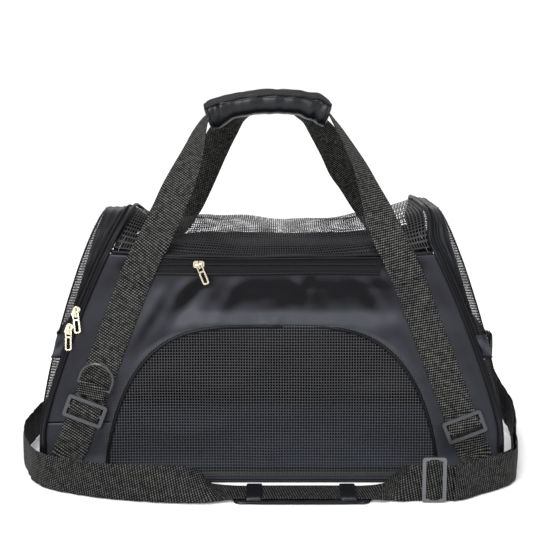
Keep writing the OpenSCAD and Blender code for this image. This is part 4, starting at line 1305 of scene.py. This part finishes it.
def build_pad():
    lo, hi = box_mm("shoulder_pad")
    cx, cy = (lo[0] + hi[0]) / 2, (lo[1] + hi[1]) / 2 - 3
    hx, hy = (hi[0] - lo[0]) / 2, (hi[1] - lo[1]) / 2 - 1
    x, y, edge = rounded_pad(110, 44, hx, hy, 9.0, 4.0)
    soft = ripples(160, 18, 50, 12)
    top = 0.5 + 1.9 * np.sqrt(1 - (1 - edge) ** 2) + 0.2 * soft(x, y) * edge
    low = 0.35 + 0 * x
    p, q = np.stack([x + cx, y + cy, top], -1), np.stack([x + cx, y + cy, low], -1)
    parts = [slab("pad", p, q, np.stack([x, y], -1), PADDED)]
    t = np.linspace(0, 2 * math.pi, 200)
    ex, ey = superellipse(np.cos(t), hx), superellipse(np.sin(t), hy)
    ring = np.stack([ex + cx, ey + cy, np.full(200, 1.3)], -1)
    parts.append(tube("bind", ring, 1.15, PIPING, 8))
    side = [(20.6, 1.6), (20.3, 3.6), (18.8, 5.2), (14, 5.9)]
    rows = [(-a, h) for a, h in side] + [(0, 6.1)] + side[::-1]
    for kx in (-17.0, 74.0):
        line = spline([(kx, cy + a, h) for a, h in rows], 60)
        parts.append(ribbon("keeper", line, np.broadcast_to(X_AXIS, line.shape), 15, 1.3, PADDED, 9))
        for e in (-6.0, 6.0):
            row = line + X_AXIS * e
            parts.append(stitches("row", row, [0, 0, 1.0], THREAD, 3.0, 2.0, 0.22, 0.7))
    o = place(join("strap_pad_cloth", parts), "shoulder_pad", "shoulder_pad")


def build_end_loops():
    """Where the strap is folded round each clip's bar and sewn to itself."""
    parts = []
    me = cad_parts["strap_end_loops"].data
    co = np.array([v.co for v in me.vertices]) * MM
    r = 2.9
    leg = [(22, 1.6), (14, 1.9), (8, 2.4), (3, r)]
    arc = [(-r * math.sin(t), r * math.cos(t)) for t in np.radians(np.linspace(10, 170, 12))]
    rows = leg + arc + [(a, -h) for a, h in leg[::-1]]
    for pts in (co[co[:, 0] < 100], co[co[:, 0] > 100]):
        c = pts.mean(0)
        if c[0] < 100:
            ax, wd, tail = X_AXIS, Y_AXIS, -1.0
            bar = np.array([pts[:, 0].max() - 3.6, c[1], (pts[:, 2].max() + pts[:, 2].min()) / 2])
        else:
            droop = math.radians(18)
            ax = np.array([math.cos(droop), 0.0, -math.sin(droop)])
            wd, tail = unit(np.array([math.sin(droop), -0.06, math.cos(droop)])), 1.0
            bar = (pts.max(0) + pts.min(0)) / 2 - ax * 9.2
        up = unit(np.cross(ax, wd))
        path = bent(rows, 90, bar, ax * tail, up)
        parts.append(ribbon("fold", path, np.broadcast_to(wd, path.shape), STRAP_W, 1.4, WEB_STRAP, 11))
        for k in (9.0, 18.0):
            row = np.array([bar + ax * tail * k + wd * w + up * 2.6 for w in np.linspace(-15, 15, 20)])
            parts.append(stitches("row", row, up, THREAD_PALE, 3.0, 2.0, 0.25, 0.3))
    place(join("strap_end_folds", parts), "bag", "strap_end_loops")


# ---------------------------------------------------------------- inside
def build_mat():
    lo, hi = box_mm("floor_mat")
    # smaller than the CAD's, so that it can be lifted out past the cloth
    x, y, edge = rounded_pad(150, 90, hi[0] - 3, hi[1] - 6, 18.0, 8.0)
    tuft = np.minimum(np.abs(np.sin(x * math.pi / 72)), np.abs(np.sin(y * math.pi / 58)))
    crown = np.sqrt(1 - (1 - edge) ** 2)
    top = hi[2] - 4.5 + 4.5 * crown - 2.2 * np.exp(-((tuft / 0.16) ** 2)) * edge
    low = lo[2] + 4 - 4 * crown + 0.1
    p, q = np.stack([x, y, top], -1), np.stack([x, y, low], -1)
    mat = slab("mat", p, q, np.stack([x, y], -1), MAT_TOP)
    o = place(join("floor_mat_cushion", [mat]), "mat", "floor_mat")


def finish_hardware():
    """Materials and softened edges for the CAD pieces that are shown as they are."""
    zip_ends = [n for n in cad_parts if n.endswith(("_slider", "_tab")) and "ring" not in n]
    looks = {
        GOLD: zip_ends,
        BLACK_METAL: [
            "front_ring", "back_ring", "front_left_glide", "front_right_glide", "back_left_glide",
            "back_right_glide", "clip_eyes", "free_hook", "free_gate", "ringed_hook", "ringed_gate",
        ],
        GREY_METAL: ["strap_glide"],
        BOARD: ["base_board"],
    }
    for m, names in looks.items():
        for n in names:
            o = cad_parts[n]
            o.data.materials.clear()
            o.data.materials.append(m)
            bev = o.modifiers.new("soft_edges", "BEVEL")
            bev.width = 0.0005 if "glide" in n or n.startswith("clip") else 0.0003
            bev.segments = 2
            bev.limit_method = "ANGLE"
            bev.angle_limit = math.radians(35)
            bev.harden_normals = True


SETTLE["on"] = True
build_front_panel()
build_back_panel()
build_window()
build_pocket()
build_top()
build_end(True)
build_end(False)
build_hoops()
build_base()
SETTLE["on"] = False
for is_back in (False, True):
    build_carry(is_back)
    build_loop(is_back)
build_sleeve()
build_grip_flap()
build_glide_hump("front_left_glide_webbing", "front_left_glide", -1, HIGH_GLIDE_S, False)
build_glide_hump("front_right_glide_webbing", "front_right_glide", 1, LOW_GLIDE_S, False)
build_glide_hump("back_right_glide_webbing", "back_right_glide", -1, HIGH_GLIDE_S, True)
build_glide_hump("back_left_glide_webbing", "back_left_glide", 1, LOW_GLIDE_S, True)
build_ring_tab("front_ring_loop", False)
build_ring_tab("back_ring_loop", True)
build_strap()
build_pad()
build_end_loops()
build_mat()
finish_hardware()

# ---------------------------------------------------------------- stage, light and camera
floor_mesh = bpy.data.meshes.new("floor")
corners = [(-9, -6, -0.0005), (9, -6, -0.0005), (9, 14, -0.0005), (-9, 14, -0.0005)]
floor_mesh.from_pydata(corners, [], [(0, 1, 2, 3)])
floor = bpy.data.objects.new("floor", floor_mesh)
bpy.context.scene.collection.objects.link(floor)
floor_mesh.materials.append(material("floor_paper", (0.8, 0.8, 0.8), 0.9, spec=0.1))

world = bpy.data.worlds.new("studio")
bpy.context.scene.world = world
world.use_nodes = True
wt = world.node_tree
sky = wt.nodes["Background"]
where = wt.nodes.new("ShaderNodeTexCoord")
split = wt.nodes.new("ShaderNodeSeparateXYZ")
fade = wt.nodes.new("ShaderNodeValToRGB")
fade.color_ramp.elements[0].position = 0.32
fade.color_ramp.elements[0].color = (0.09, 0.09, 0.093, 1)
fade.color_ramp.elements[1].position = 0.62
fade.color_ramp.elements[1].color = (1, 1, 1, 1)
half_turn = wt.nodes.new("ShaderNodeMath")
half_turn.operation = "MULTIPLY_ADD"
half_turn.inputs[1].default_value = 0.5
half_turn.inputs[2].default_value = 0.5
wt.links.new(where.outputs["Generated"], split.inputs[0])
wt.links.new(split.outputs[1], half_turn.inputs[0])
wt.links.new(half_turn.outputs[0], fade.inputs[0])
wt.links.new(fade.outputs[0], sky.inputs[0])
sky.inputs[1].default_value = 1.05


def area(name, at, to, size, power, size_y=None):
    light = bpy.data.lights.new(name, "AREA")
    light.shape = "RECTANGLE"
    light.size = size
    light.size_y = size_y or size
    light.energy = power
    o = bpy.data.objects.new(name, light)
    o.location = at
    o.rotation_euler = (Vector(to) - Vector(at)).to_track_quat("-Z", "Y").to_euler()
    bpy.context.scene.collection.objects.link(o)


def sun(name, at, strength, spread):
    light = bpy.data.lights.new(name, "SUN")
    light.energy = strength
    light.angle = math.radians(spread)
    o = bpy.data.objects.new(name, light)
    o.rotation_euler = (-Vector(at)).to_track_quat("-Z", "Y").to_euler()
    bpy.context.scene.collection.objects.link(o)


sun("overhead", (-0.2, -0.42, 1.0), 2.7, 40)
area("key", (-0.7, -2.1, 0.95), (0, 0, 0.15), 1.1, 40, 0.6)
area("rim", (1.1, -1.8, 0.95), (0, 0, 0.2), 0.6, 14)

cam = bpy.data.cameras.new("camera")
cam.lens = 73.14
cam.shift_y = -0.05
cam.sensor_width = 36
camera = bpy.data.objects.new("camera", cam)
camera.location = (0.0057, -1.2136, 0.3873)
camera.rotation_euler = (math.radians(90 - 7.94), 0, 0)
bpy.context.scene.collection.objects.link(camera)
bpy.context.scene.camera = camera
bpy.context.scene.view_settings.view_transform = "Standard"
